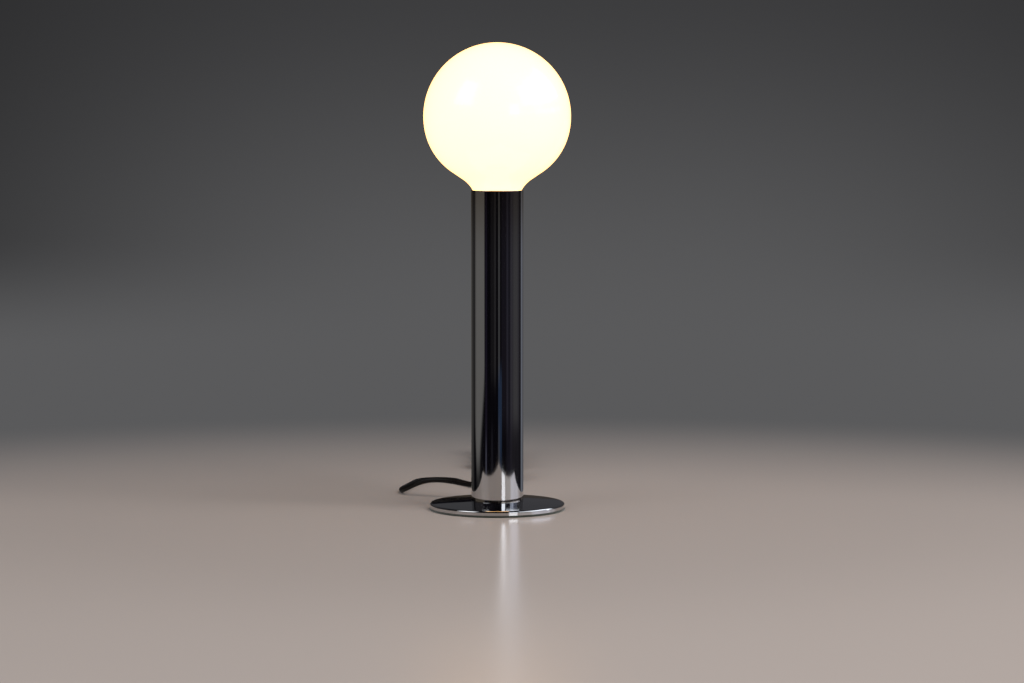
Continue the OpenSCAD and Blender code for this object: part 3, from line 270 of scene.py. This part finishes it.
# The floor: a pale, faintly warm table top with a satin surface. Farther off it fades softly into
# the room's grey. What the chrome mirrors of it is a square top, cornerwise to the front.
FLOOR_COLOUR = (0.450, 0.393, 0.362)
FLOOR_RADIUS = 1.6
FADE_MIDDLE = (0, -0.35, 0)
FADE_BETWEEN = (0.50, 1.15)
DULLER_BETWEEN = (0.33, 0.70)
FLOOR_ROUGHNESS = (0.20, 0.27)
TOP_HALF = 0.200
TOP_EDGE = 0.002
TOP_MIDDLE = (0.0065, -0.096)
TOP_TURN = math.radians(52.3)


def principled(name, colour, **sockets):
    """A new node material with its Principled shader and that shader's constants set."""
    material = bpy.data.materials.new(name)
    material.use_nodes = True
    shader = material.node_tree.nodes["Principled BSDF"]
    shader.inputs["Base Color"].default_value = (*colour, 1)
    for socket, value in sockets.items():
        shader.inputs[socket.replace("_", " ")].default_value = value
    return material, material.node_tree, shader


def spread(tree, value, low, high, start=0.3, end=0.7):
    """The value's stretch from start to end, laid out from low to high."""
    node = tree.nodes.new("ShaderNodeMapRange")
    tree.links.new(value, node.inputs["Value"])
    sockets = ("From Min", "From Max", "To Min", "To Max")
    for socket, number in zip(sockets, (start, end, low, high)):
        node.inputs[socket].default_value = number
    return node.outputs["Result"]


floor_finish, tree, shader = principled("table_top", FLOOR_COLOUR)
coordinates = tree.nodes.new("ShaderNodeTexCoord").outputs["Object"]


def distance_from(middle):
    """How far a point of the floor is from another, in metres."""
    length = tree.nodes.new("ShaderNodeVectorMath")
    length.operation = "DISTANCE"
    tree.links.new(coordinates, length.inputs[0])
    length.inputs[1].default_value = middle
    return length.outputs["Value"]


duller = soft_step(tree, distance_from((0, 0, 0)), *DULLER_BETWEEN)
tree.links.new(
    spread(tree, duller, *FLOOR_ROUGHNESS, start=0, end=1), shader.inputs["Roughness"])
fade = soft_step(tree, distance_from(FADE_MIDDLE), *FADE_BETWEEN)
turned = tree.nodes.new("ShaderNodeMapping")
turned.vector_type = "TEXTURE"
turned.inputs["Location"].default_value = (*TOP_MIDDLE, 0)
turned.inputs["Rotation"].default_value = (0, 0, TOP_TURN)
tree.links.new(coordinates, turned.inputs["Vector"])
along = tree.nodes.new("ShaderNodeSeparateXYZ")
tree.links.new(turned.outputs[0], along.inputs[0])
from_middle = math_node(
    tree, "MAXIMUM",
    math_node(tree, "ABSOLUTE", along.outputs[0]), math_node(tree, "ABSOLUTE", along.outputs[1]),
)
beyond = soft_step(tree, from_middle, TOP_HALF, TOP_HALF + TOP_EDGE)
far = tree.nodes.new("ShaderNodeEmission")
far.inputs["Color"].default_value = (*ROOM_GREY, 1)
near_to_far = tree.nodes.new("ShaderNodeMixShader")
tree.links.new(fade, near_to_far.inputs[0])
tree.links.new(shader.outputs[0], near_to_far.inputs[1])
tree.links.new(far.outputs[0], near_to_far.inputs[2])
glossy = tree.nodes.new("ShaderNodeLightPath").outputs["Is Glossy Ray"]
open_floor = tree.nodes.new("ShaderNodeMixShader")
tree.links.new(math_node(tree, "MULTIPLY", beyond, glossy), open_floor.inputs[0])
tree.links.new(near_to_far.outputs[0], open_floor.inputs[1])
tree.links.new(tree.nodes.new("ShaderNodeBsdfTransparent").outputs[0], open_floor.inputs[2])
tree.links.new(open_floor.outputs[0], tree.nodes["Material Output"].inputs["Surface"])

floor_mesh = bpy.data.meshes.new("floor")
shape = bmesh.new()
bmesh.ops.create_circle(shape, cap_ends=True, segments=96, radius=FLOOR_RADIUS)
shape.to_mesh(floor_mesh)
shape.free()
floor_mesh.materials.append(floor_finish)
floor = bpy.data.objects.new("floor", floor_mesh)
bpy.context.scene.collection.objects.link(floor)

# The foot: a steel disc, turned to a slight crown with a rounded upper edge, then polished and
# chromed. It is bolted to the weight in the tube from below. Its chrome has faint wipe marks.
CHROME = (0.57, 0.575, 0.585)
CHROME_ROUGHNESS = (0.025, 0.07)


def noise(tree, scale, detail, stretch=(1, 1, 1)):
    """Noise in the piece's own coordinates, drawn out where stretch is small. Gives 0 to 1."""
    place = tree.nodes.new("ShaderNodeMapping")
    place.inputs["Scale"].default_value = stretch
    source = tree.nodes.new("ShaderNodeTexCoord")
    tree.links.new(source.outputs["Object"], place.inputs["Vector"])
    node = tree.nodes.new("ShaderNodeTexNoise")
    node.inputs["Scale"].default_value = scale
    node.inputs["Detail"].default_value = detail
    tree.links.new(place.outputs[0], node.inputs["Vector"])
    return node.outputs["Fac"]


def relief(tree, shader, height, depth):
    """Makes the surface look raised by a height of 0 to 1 times the depth."""
    bump = tree.nodes.new("ShaderNodeBump")
    bump.inputs["Distance"].default_value = depth
    bump.inputs["Strength"].default_value = 1.0
    tree.links.new(height, bump.inputs["Height"])
    tree.links.new(bump.outputs[0], shader.inputs["Normal"])


def chrome_plate(name):
    """Mirror chrome that was wiped with a cloth, on metal whose polish is a little wavy."""
    material, tree, shader = principled(name, CHROME, Metallic=1.0)
    wiped = noise(tree, scale=22, detail=4, stretch=(1, 1, 0.4))
    tree.links.new(spread(tree, wiped, *CHROME_ROUGHNESS), shader.inputs["Roughness"])
    waves = noise(tree, scale=11, detail=1, stretch=(1, 1, 0.3))
    relief(tree, shader, waves, depth=0.05 * MM)
    return material


def dress(material, *names):
    """Gives the lamp's own pieces their finish."""
    for name in names:
        for held in nodes_of_lamp[name].material_slots:
            held.material = material


dress(chrome_plate("base_chrome"), "base_disc")

# The felt under the foot: a disc of dark green pressed wool, a hair wider than the chrome, so
# that it shows as a dark line on the table. Its cut edge is soft and slightly uneven.
FELT_GREEN = (0.009, 0.013, 0.008)
FELT_PALE = (0.030, 0.036, 0.024)
FELT_UNEVEN = 0.10 * MM
FELT_ROUND = 0.35 * MM
FELT_FLAT_SHARE = 0.9
EDGE_STEPS = 480


def ringed(name, rings, steps=96, joined=False):
    """A round piece built up of rings. Each ring gives (radius, height) for an angle in radians.
    The last ring is joined to the first, or else both ends are closed by a flat face."""
    shape = bmesh.new()
    loops_made = []
    for ring in rings:
        points = []
        for step in range(steps):
            angle = 2 * math.pi * step / steps
            radius, height = ring(angle)
            place = (radius * math.cos(angle), radius * math.sin(angle), height)
            points.append(shape.verts.new(place))
        loops_made.append(points)
    pairs = list(zip(loops_made, loops_made[1:]))
    if joined:
        pairs.append((loops_made[-1], loops_made[0]))
    else:
        shape.faces.new(reversed(loops_made[0]))
        shape.faces.new(loops_made[-1])
    for lower, upper in pairs:
        for step in range(steps):
            following = (step + 1) % steps
            shape.faces.new((lower[step], lower[following], upper[following], upper[step]))
    # The side's faces have four corners, and only the flat ends have more.
    for face in shape.faces:
        face.smooth = len(face.verts) == 4
    mesh = bpy.data.meshes.new(name)
    bmesh.ops.recalc_face_normals(shape, faces=shape.faces)
    shape.to_mesh(mesh)
    shape.free()
    piece = bpy.data.objects.new(name, mesh)
    bpy.context.scene.collection.objects.link(piece)
    return piece


def plain_ring(radius, height):
    """A ring that is truly round and level."""
    return lambda angle: (radius, height)


def stand_in(piece, material, slot, body, *names):
    """Finishes a made piece, sets it on its body and lets it stand for the nodes named."""
    piece.data.materials.append(material)
    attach(piece, body)
    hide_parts(*names)


felt_finish, tree, shader = principled(
    "pressed_wool", FELT_GREEN, Roughness=1.0, Specular_IOR_Level=0.1, Sheen_Weight=0.5,
    Sheen_Roughness=0.5,
)
hairs = noise(tree, scale=2600, detail=6)
wool = mixed_colour(tree, spread(tree, hairs, 0, 1), FELT_GREEN, FELT_PALE)
tree.links.new(wool, shader.inputs["Base Color"])
relief(tree, shader, hairs, depth=0.25 * MM)
felt_low, felt_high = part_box("felt_pad")
felt_r = felt_high.x
random.seed(7)
uneven = [random.uniform(-1, 1) for _ in range(EDGE_STEPS)]


def felt_edge(inset, height):
    """A ring of the cut edge, which drifts in and out a little."""
    def ring(angle):
        step = round(angle / (2 * math.pi) * EDGE_STEPS) % EDGE_STEPS
        drift = (uneven[step - 1] + 2 * uneven[step] + uneven[(step + 1) % EDGE_STEPS]) / 4
        return felt_r - FELT_UNEVEN - inset + FELT_UNEVEN * drift, height
    return ring


felt = ringed("felt_disc", [
    plain_ring(felt_r * FELT_FLAT_SHARE, felt_low.z),
    felt_edge(FELT_ROUND, felt_low.z),
    felt_edge(0, felt_low.z + FELT_ROUND),
    felt_edge(0, felt_high.z - FELT_ROUND),
    felt_edge(FELT_ROUND, felt_high.z),
    plain_ring(felt_r * FELT_FLAT_SHARE, felt_high.z),
], steps=EDGE_STEPS)
stand_in(felt, felt_finish, "felt", "root", "felt_pad")

# The weight in the foot of the tube, of turned steel with the fine rings that the lathe leaves.
# It is bonded in, and three countersunk screws of blackened steel hold the disc to it from below.
TURNED_STEEL = (0.50, 0.51, 0.53)
SCREW_STEEL = (0.30, 0.30, 0.31)
STAIN_SHADE = 0.78


def steel(name, colour, smoothest, roughest, turned=False):
    """Bare or plated steel with stains, and with the lathe's rings where it was turned."""
    material, tree, shader = principled(name, colour, Metallic=1.0)
    stains = noise(tree, scale=90, detail=4)
    darker = tuple(value * STAIN_SHADE for value in colour)
    stained = mixed_colour(tree, spread(tree, stains, 0, 1), colour, darker)
    tree.links.new(stained, shader.inputs["Base Color"])
    tree.links.new(spread(tree, stains, smoothest, roughest), shader.inputs["Roughness"])
    if turned:
        rings = noise(tree, scale=1800, detail=1, stretch=(0.02, 0.02, 1))
        relief(tree, shader, rings, depth=0.04 * MM)
    else:
        relief(tree, shader, noise(tree, scale=1600, detail=2), depth=0.01 * MM)
    return material


dress(steel("turned_steel", TURNED_STEEL, 0.22, 0.36, turned=True), "foot_weight")
dress(steel("blackened_steel", SCREW_STEEL, 0.30, 0.45), "base_screws")

# The stem: drawn steel tube, polished and chromed outside, its rim broken by a small round. It
# stands on the disc's crown. Its bore is bare and dull, from these shares of the wall inwards.
BARE_BETWEEN = (0.7, 0.9)
TUBE_WALL = 1.2 * MM
BARE_INSIDE = (0.20, 0.195, 0.19)
BARE_ROUGHNESS = 0.42
tube_finish = chrome_plate("tube_chrome")
tree = tube_finish.node_tree
shader = tree.nodes["Principled BSDF"]
levelled = tree.nodes.new("ShaderNodeVectorMath")
levelled.operation = "MULTIPLY"
levelled.inputs[1].default_value = (1, 1, 0)
tree.links.new(tree.nodes.new("ShaderNodeTexCoord").outputs["Object"], levelled.inputs[0])
from_axis = tree.nodes.new("ShaderNodeVectorMath")
from_axis.operation = "LENGTH"
tree.links.new(levelled.outputs[0], from_axis.inputs[0])
tube_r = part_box("stem_tube")[1].x
bare_from, bare_to = (tube_r - share * TUBE_WALL for share in BARE_BETWEEN)
inside = soft_step(tree, from_axis.outputs["Value"], bare_from, bare_to)
tree.links.new(mixed_colour(tree, inside, CHROME, BARE_INSIDE), shader.inputs["Base Color"])
polished = shader.inputs["Roughness"].links[0].from_socket
dull = math_node(tree, "MULTIPLY", inside, BARE_ROUGHNESS)
tree.links.new(math_node(tree, "MAXIMUM", polished, dull), shader.inputs["Roughness"])
dress(tube_finish, "stem_tube")

# The cord's bushing and strain relief: soft black plastic, moulded in one and snapped into the
# hole at the rear of the tube. Grooves round its sleeve let it bend with the cord.
SOFT_BLACK = (0.010, 0.010, 0.010)
SHINIER = 0.05
DULLER = 0.07
HANDLED_TIMES = 1.25
HANDLED_PLUS = 0.003


def moulded(name, colour, roughness, grain=0.02 * MM, grain_scale=2200):
    """Injection-moulded plastic: a fine eroded grain, with a little unevenness in its gloss."""
    material, tree, shader = principled(name, colour)
    grains = noise(tree, scale=grain_scale, detail=2)
    gloss = spread(tree, noise(tree, scale=70, detail=3), roughness - SHINIER, roughness + DULLER)
    tree.links.new(gloss, shader.inputs["Roughness"])
    handled = tuple(value * HANDLED_TIMES + HANDLED_PLUS for value in colour)
    touched = spread(tree, noise(tree, scale=130, detail=3), 0, 1)
    tree.links.new(mixed_colour(tree, touched, colour, handled), shader.inputs["Base Color"])
    relief(tree, shader, grains, depth=grain)
    return material


dress(moulded("bushing_plastic", SOFT_BLACK, 0.45), "cord_bushing")

# The cord inside the lamp: a round black flex with an extruded plastic sheath, turned up in the
# weight's slot and led through the pipe. In the dome its two conductors part, brown to the left
# terminal and blue to the right.
CORD_D = 4.8 * MM
CORD_BLACK = (0.0045, 0.0038, 0.0036)
CORD_DUST = (0.012, 0.010, 0.009)
CORD_ROUGHNESS = (0.24, 0.38)
WIRE_D = 2.0 * MM
# The routes of cord and conductors are in millimetres.
INNER_START = (18.6, 13.833)
BEND_START_Y = 18.2
BEND_RADIUS = 19.2
BEND_STEPS = 8
# Each height in the pipe, with how far forward or back the cord lies there.
PIPE_RISE = ((50.97, -1.0), (81.65, -0.5), (112.33, 0.0), (191.021, 0.0))
WIRE_LOW = 191.021
WIRE_TOP = 205.021
WIRE_SPAN = 11.0
WIRE_OUT = 9.0
WIRE_IN = 1.1
# The shares of its way out and of its way up at which a conductor bends.
WIRE_BEND = ((0, 0), (0, 0.2), (0.2, 0.4), (0.75, 0.62), (1, 0.85))
CONDUCTORS = (
    ("brown_conductor", -1, (0.120, 0.045, 0.018), "wire_brown", "live_wire"),
    ("blue_conductor", 1, (0.020, 0.055, 0.240), "wire_blue", "neutral_wire"),
)


def black_sheath(name):
    """Extruded soft plastic: black, a little dusty, with duller and shinier patches."""
    material, tree, shader = principled(
        name, CORD_BLACK, Coat_Weight=0.03, Coat_Roughness=0.20, Specular_IOR_Level=0.14,
    )
    patches = noise(tree, scale=60, detail=2)
    tree.links.new(spread(tree, patches, *CORD_ROUGHNESS), shader.inputs["Roughness"])
    dusty = spread(tree, noise(tree, scale=900, detail=4), 0, 1, start=0.45, end=0.9)
    tree.links.new(mixed_colour(tree, dusty, CORD_BLACK, CORD_DUST), shader.inputs["Base Color"])
    relief(tree, shader, noise(tree, scale=1400, detail=2), depth=0.02 * MM)
    return material


def flex(name, points, diameter):
    """One smooth round cord through the points."""
    line = bpy.data.curves.new(name, "CURVE")
    line.dimensions = "3D"
    line.bevel_depth = diameter / 2
    line.bevel_resolution = 8
    line.resolution_u = 4
    line.use_fill_caps = True
    spline = line.splines.new("BEZIER")
    spline.bezier_points.add(len(points) - 1)
    for bend, point in zip(spline.bezier_points, points):
        bend.co = point
        bend.handle_left_type = bend.handle_right_type = "AUTO"
    piece = bpy.data.objects.new(name, line)
    bpy.context.scene.collection.objects.link(piece)
    return piece


def metres(points):
    """The same points in metres, where a route is given in millimetres."""
    return [tuple(value * MM for value in point) for point in points]


cord_finish = black_sheath("cord_sheath")
inner_route = [(0, *INNER_START)]
for step in range(BEND_STEPS + 1):
    turn = math.pi / 2 * step / BEND_STEPS
    inner_route.append((
        0, BEND_START_Y - BEND_RADIUS * math.sin(turn),
        INNER_START[1] + BEND_RADIUS * (1 - math.cos(turn)),
    ))
inner_route += [(0, y, z) for z, y in PIPE_RISE]
inner = flex("inner_flex", metres(inner_route), CORD_D)
stand_in(inner, cord_finish, "cord_black", "root", "inner_cord")
for name, side, colour, slot, node in CONDUCTORS:
    wire_route = [
        (side * (WIRE_IN + share * (WIRE_OUT - WIRE_IN)), 0, WIRE_LOW + height * WIRE_SPAN)
        for share, height in WIRE_BEND
    ]
    wire_route.append((side * WIRE_OUT, 0, WIRE_TOP))
    conductor = flex(name, metres(wire_route), WIRE_D)
    insulation = moulded(name + "_insulation", colour, 0.30, grain=0.008 * MM)
    stand_in(conductor, insulation, slot, "root", node)

# The lamp pipe with its two lock nuts and the centring plate: zinc-plated steel, the nuts of
# brass. The pipe is screwed into the weight and carries the lampholder, by a thread at each end.
ZINC = (0.60, 0.61, 0.62)
BRASS = (0.70, 0.50, 0.20)
PIPE_BORE_R = 3.5 * MM
PIPE_PITCH = 1.0 * MM
PIPE_THREAD_L = 18 * MM
PIPE_THREAD_H = 0.30 * MM
PIPE_SIDES = 40
THREAD_ROWS = 5
TARNISH = (0.72, 0.62, 0.5)


def brass(name, colour, smoothest, roughest):
    """Brass or bronze that has gone brown and dull in patches."""
    material, tree, shader = principled(name, colour, Metallic=1.0)
    tarnish = noise(tree, scale=240, detail=4)
    browner = tuple(value * share for value, share in zip(colour, TARNISH))
    tarnished = mixed_colour(tree, spread(tree, tarnish, 0, 1), colour, browner)
    tree.links.new(tarnished, shader.inputs["Base Color"])
    tree.links.new(spread(tree, tarnish, smoothest, roughest), shader.inputs["Roughness"])
    relief(tree, shader, noise(tree, scale=1500, detail=2), depth=0.01 * MM)
    return material


def screw_ring(crest, depth, pitch, height):
    """A ring of a rounded screw thread, whose crest climbs one pitch in each turn."""
    def ring(angle):
        phase = 2 * math.pi * height / pitch - angle
        return crest - depth * (1 - math.cos(phase)) / 2, height
    return ring


pipe_low, pipe_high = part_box("lamp_pipe")
pipe_r = pipe_high.x
rings = [plain_ring(PIPE_BORE_R, pipe_low.z)]
for start in (pipe_low.z, pipe_high.z - PIPE_THREAD_L):
    rows = round(PIPE_THREAD_L / PIPE_PITCH * THREAD_ROWS)
    for row in range(rows + 1):
        height = start + PIPE_THREAD_L * row / rows
        run_out = min(row, rows - row, THREAD_ROWS) / THREAD_ROWS
        rings.append(screw_ring(pipe_r, PIPE_THREAD_H * run_out, PIPE_PITCH, height))
rings.append(plain_ring(PIPE_BORE_R, pipe_high.z))
zinc_finish = steel("zinc_plate", ZINC, 0.25, 0.42)
brass_finish = brass("turned_brass", BRASS, 0.20, 0.38)
pipe = ringed("threaded_pipe", rings, steps=PIPE_SIDES, joined=True)
stand_in(pipe, zinc_finish, "zinc_steel", "root", "lamp_pipe")
dress(brass_finish, "pipe_nuts")
dress(zinc_finish, "centring_plate")

# The lampholder: dome, insert and barrel. Dome and barrel are moulded in white thermoplastic that
# has yellowed a little; the insert between them is ivory steatite.
HOLDER_WHITE = (0.74, 0.72, 0.66)
STEATITE = (0.70, 0.64, 0.52)
BRONZE = (0.66, 0.42, 0.20)
dress(moulded("holder_plastic", HOLDER_WHITE, 0.35), "holder_dome", "holder_barrel")
dress(moulded("steatite", STEATITE, 0.50, grain=0.04 * MM, grain_scale=1400), "holder_insert")
dress(brass("spring_bronze", BRONZE, 0.24, 0.42), "centre_contact", "side_contact")
dress(brass_finish, "terminal_blocks")
dress(zinc_finish, "terminal_screws")

# The globe: a blown bulb of opal glass with a smooth, glossy skin, lit. The white layer spreads
# the light evenly, and is thicker towards the top and the neck, where the light is warmer.
OPAL = (0.25, 0.225, 0.18)
SKIN_TINT = (1.0, 0.97, 0.90, 1)
LIT_MIDDLE = (1.0, 0.571, 0.224)
LIT_ENDS = (0.97, 0.550, 0.218)
LIT_LEVEL = 3.6
THICKER_BETWEEN = (0.15, 1.0)
UNEVEN_LAYER = 0.10
globe_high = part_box("bulb_globe")[1]
globe_r = globe_high.x
globe_z = globe_high.z - globe_r
opal, tree, shader = principled(
    "opal_glass", OPAL, Roughness=0.25, Coat_Weight=0.5, Coat_Roughness=0.03,
    Coat_Tint=SKIN_TINT, Emission_Strength=LIT_LEVEL,
)
height = tree.nodes.new("ShaderNodeSeparateXYZ")
tree.links.new(tree.nodes.new("ShaderNodeTexCoord").outputs["Object"], height.inputs[0])
from_equator = math_node(tree, "ABSOLUTE", math_node(tree, "SUBTRACT", height.outputs[2], globe_z))
thickness = soft_step(tree, from_equator, *(share * globe_r for share in THICKER_BETWEEN))
cloudy = spread(tree, noise(tree, scale=26, detail=3), -UNEVEN_LAYER, UNEVEN_LAYER)
layer = math_node(tree, "ADD", thickness, cloudy)
tree.links.new(mixed_colour(tree, layer, LIT_MIDDLE, LIT_ENDS), shader.inputs["Emission Color"])
dress(opal, "bulb_globe")

# The bulb's other pieces: the rolled screw shell, the black glass insulator, the tinned contact,
# the glass mount with its wires, and the coiled filament.
SHELL_METAL = (0.62, 0.62, 0.62)
BLACK_GLASS = (0.012, 0.012, 0.014)
TIN = (0.66, 0.67, 0.68)
WIRE_GREY = (0.30, 0.30, 0.31)
TUNGSTEN = (0.16, 0.155, 0.15)
CLEAR_GLASS = (0.93, 0.97, 0.98)
GLASS_ROUGHNESS = (0.01, 0.05)
dress(steel("shell_metal", SHELL_METAL, 0.25, 0.40), "bulb_cap")
dress(moulded("black_glass", BLACK_GLASS, 0.10, grain=0.004 * MM), "bulb_insulator")
dress(steel("tinned", TIN, 0.30, 0.50), "bulb_button")
dress(steel("drawn_wire", WIRE_GREY, 0.30, 0.45), "support_wires")
dress(steel("tungsten", TUNGSTEN, 0.40, 0.55), "filament")
mount_glass, tree, shader = principled("mount_glass", CLEAR_GLASS, Transmission_Weight=1.0, IOR=1.5)
streaks = noise(tree, scale=120, detail=2)
tree.links.new(spread(tree, streaks, *GLASS_ROUGHNESS), shader.inputs["Roughness"])
relief(tree, shader, noise(tree, scale=90, detail=2), depth=0.08 * MM)
dress(mount_glass, "bulb_mount")

# The mains lead from the lamp to its switch: the same cord as inside. It arches out of its strain
# relief to the left, lies down on the table and turns back behind the lamp.
LEAD_ROUTE = [
    (0, 42.3, 13.833), (0, 47.1, 13.833), (-1.6, 55.9, 13.5), (-6.1, 63.7, 12.8),
    (-13, 69.5, 12.1), (-21.5, 72.6, 11.8), (-31.3, 74.6, 12.9), (-40.9, 77.2, 14.3),
    (-50.4, 80.4, 15), (-59.6, 84.2, 14.4), (-68.6, 88.5, 11.9), (-74.6, 91.9, 9.1),
    (-80, 96.8, 6), (-83.9, 103.1, 3.6), (-85.6, 110.4, 2.6), (-85, 118, 2.5),
    (-83.2, 127, 2.5), (-81, 137, 2.5), (-79, 147, 2.5), (-77, 157, 2.5),
    (-74.7, 166.5, 2.5), (-71.2, 174.5, 2.5), (-65, 180.3, 2.5), (-56.7, 182.9, 2.5),
    (-48.2, 181.8, 2.5), (-41.6, 177.9, 2.5), (-37, 171.8, 2.5), (-32.5, 162.5, 2.5),
    (-28.2, 153.6, 2.5), (-25.2, 147.8, 2.5), (-20.2, 142, 2.5), (-12.5, 137.9, 2.5),
    (-3.5, 137.5, 2.5), (4.9, 141, 2.7), (11.1, 147.7, 3.2), (13.8, 156.4, 4),
    (13.4, 162.6, 4.8), (11.2, 168.6, 5.5), (9, 174, 6.1), (8.2, 179.7, 6.5), (8.2, 191, 6.5),
]
lead = flex("mains_lead", metres(LEAD_ROUTE), CORD_D)
stand_in(lead, cord_finish, "cord_black", "root", "cord_lead")

# The switch in the cord: two black shells with a fine eroded grain, held by four screws from
# below, and a polished rocker between them. Its contacts are brass and bronze.
SWITCH_BLACK = (0.012, 0.012, 0.0125)
ROCKER_BLACK = (0.009, 0.009, 0.0095)
shell_finish = moulded("switch_plastic", SWITCH_BLACK, 0.50, grain=0.05 * MM, grain_scale=1500)
dress(shell_finish, "switch_base", "switch_cover")
dress(moulded("rocker_plastic", ROCKER_BLACK, 0.22, grain=0.006 * MM), "switch_rocker")
dress(brass_finish, "switch_contacts")
dress(brass("blade_bronze", BRONZE, 0.22, 0.40), "switch_blade")
dress(zinc_finish, "switch_screws")

# The rest of the mains lead, from the switch to the plug, in one unbroken length. Most of it is
# put away behind the lamp in a hank of five loops in three layers, drawn in at the waist by a tie.
HANK_MIDDLE = (0, 330, 3.25)
HANK_RUN = 80
HANK_INNER_R = 13.85
HANK_LANE_STEP = 5.5
HANK_LAYER = 5.3
HANK_WAIST_DRAW = 6
HANK_TURNS = 5
HANK_REVERSALS = (1, 2.5, 4)
RUN_SHARE = 5 / 24
LOOP_POINTS = 24
LINK_ROUTE = [
    (8.2, 239, 6.5), (8.2, 250, 6.5), (8.9, 255.4, 6.3), (10.8, 260.3, 5.8), (14, 265, 5),
    (17.3, 269.6, 4.2), (19.2, 274.6, 3.6),
]
TAIL_ROUTE = [
    (18.1, 306, 19.7), (15.7, 312, 21.2), (9.4, 319, 23.8), (3.1, 326, 26.5), (0.7, 332, 28),
    (0, 338.2, 28.45), (0, 343, 28.45),
]
# At both ends of the loops the cord runs straight on for two steps of its own width.
STRAIGHT_STEP = CORD_D / MM


def waist_draw(y):
    """How far a run is drawn in, at a place along it."""
    if abs(y) >= HANK_RUN / 2:
        return 0
    return HANK_WAIST_DRAW * (1 + math.cos(2 * math.pi * y / HANK_RUN)) / 2


def hank_point(turns):
    """Where the cord's middle lies after so many turns from the middle of the right-hand run."""
    # It spirals inwards and outwards by turns, and climbs one layer at each reversal.
    if turns <= HANK_REVERSALS[0]:
        lane = HANK_REVERSALS[0] - turns
    elif turns <= HANK_REVERSALS[1]:
        lane = turns - HANK_REVERSALS[0]
    elif turns <= HANK_REVERSALS[2]:
        lane = HANK_REVERSALS[2] - turns
    else:
        lane = turns - HANK_REVERSALS[2]
    radius = HANK_INNER_R + lane * HANK_LANE_STEP
    layers = 0
    for reversal in HANK_REVERSALS:
        share = min(1, max(0, (turns - reversal) / RUN_SHARE + 0.5))
        layers += share * share * (3 - 2 * share)
    # One turn is the right-hand run, a half circle, the left-hand run and another half circle.
    part = turns - math.floor(turns + RUN_SHARE / 2)
    fold = 0.5 - RUN_SHARE
    if part <= RUN_SHARE / 2:
        y = HANK_RUN * part / RUN_SHARE
        x = radius - waist_draw(y)
    elif part < 0.5 - RUN_SHARE / 2:
        angle = math.pi * (part - RUN_SHARE / 2) / fold
        x, y = radius * math.cos(angle), HANK_RUN / 2 + radius * math.sin(angle)
    elif part <= 0.5 + RUN_SHARE / 2:
        y = -HANK_RUN * (part - 0.5) / RUN_SHARE
        x = -radius + waist_draw(y)
    else:
        angle = math.pi + math.pi * (part - 0.5 - RUN_SHARE / 2) / fold
        x, y = radius * math.cos(angle), -HANK_RUN / 2 + radius * math.sin(angle)
    return HANK_MIDDLE[0] + x, HANK_MIDDLE[1] + y, HANK_MIDDLE[2] + layers * HANK_LAYER


first_turn = -RUN_SHARE / 2
loops = [
    hank_point(first_turn + step / LOOP_POINTS) for step in range(HANK_TURNS * LOOP_POINTS + 1)
]
before = [(loops[0][0], loops[0][1] - step * STRAIGHT_STEP, loops[0][2]) for step in (2, 1)]
after = [(loops[-1][0], loops[-1][1] + step * STRAIGHT_STEP, loops[-1][2]) for step in (1, 2)]
rest_route = [*LINK_ROUTE, *before, *loops, *after, *TAIL_ROUTE]
rest = flex("hank_and_tail", metres(rest_route), CORD_D)
stand_in(rest, cord_finish, "cord_black", "root", "cord_link", "cord_hank", "cord_tail")

# The plug: a flat two-pin body moulded on the cord with its strain relief, nickelled brass pins
# with black sleeves, and the flat plastic tie round the hank.
PLUG_BLACK = (0.012, 0.012, 0.0125)
SLEEVE_BLACK = (0.011, 0.011, 0.011)
NICKEL = (0.62, 0.60, 0.55)
TIE_BLACK = (0.017, 0.017, 0.017)
dress(moulded("plug_plastic", PLUG_BLACK, 0.42), "plug_body")
dress(moulded("sleeve_plastic", SLEEVE_BLACK, 0.38), "pin_sleeves")
dress(steel("nickelled_brass", NICKEL, 0.16, 0.30), "plug_pins")
dress(moulded("tie_plastic", TIE_BLACK, 0.48), "hank_tie")
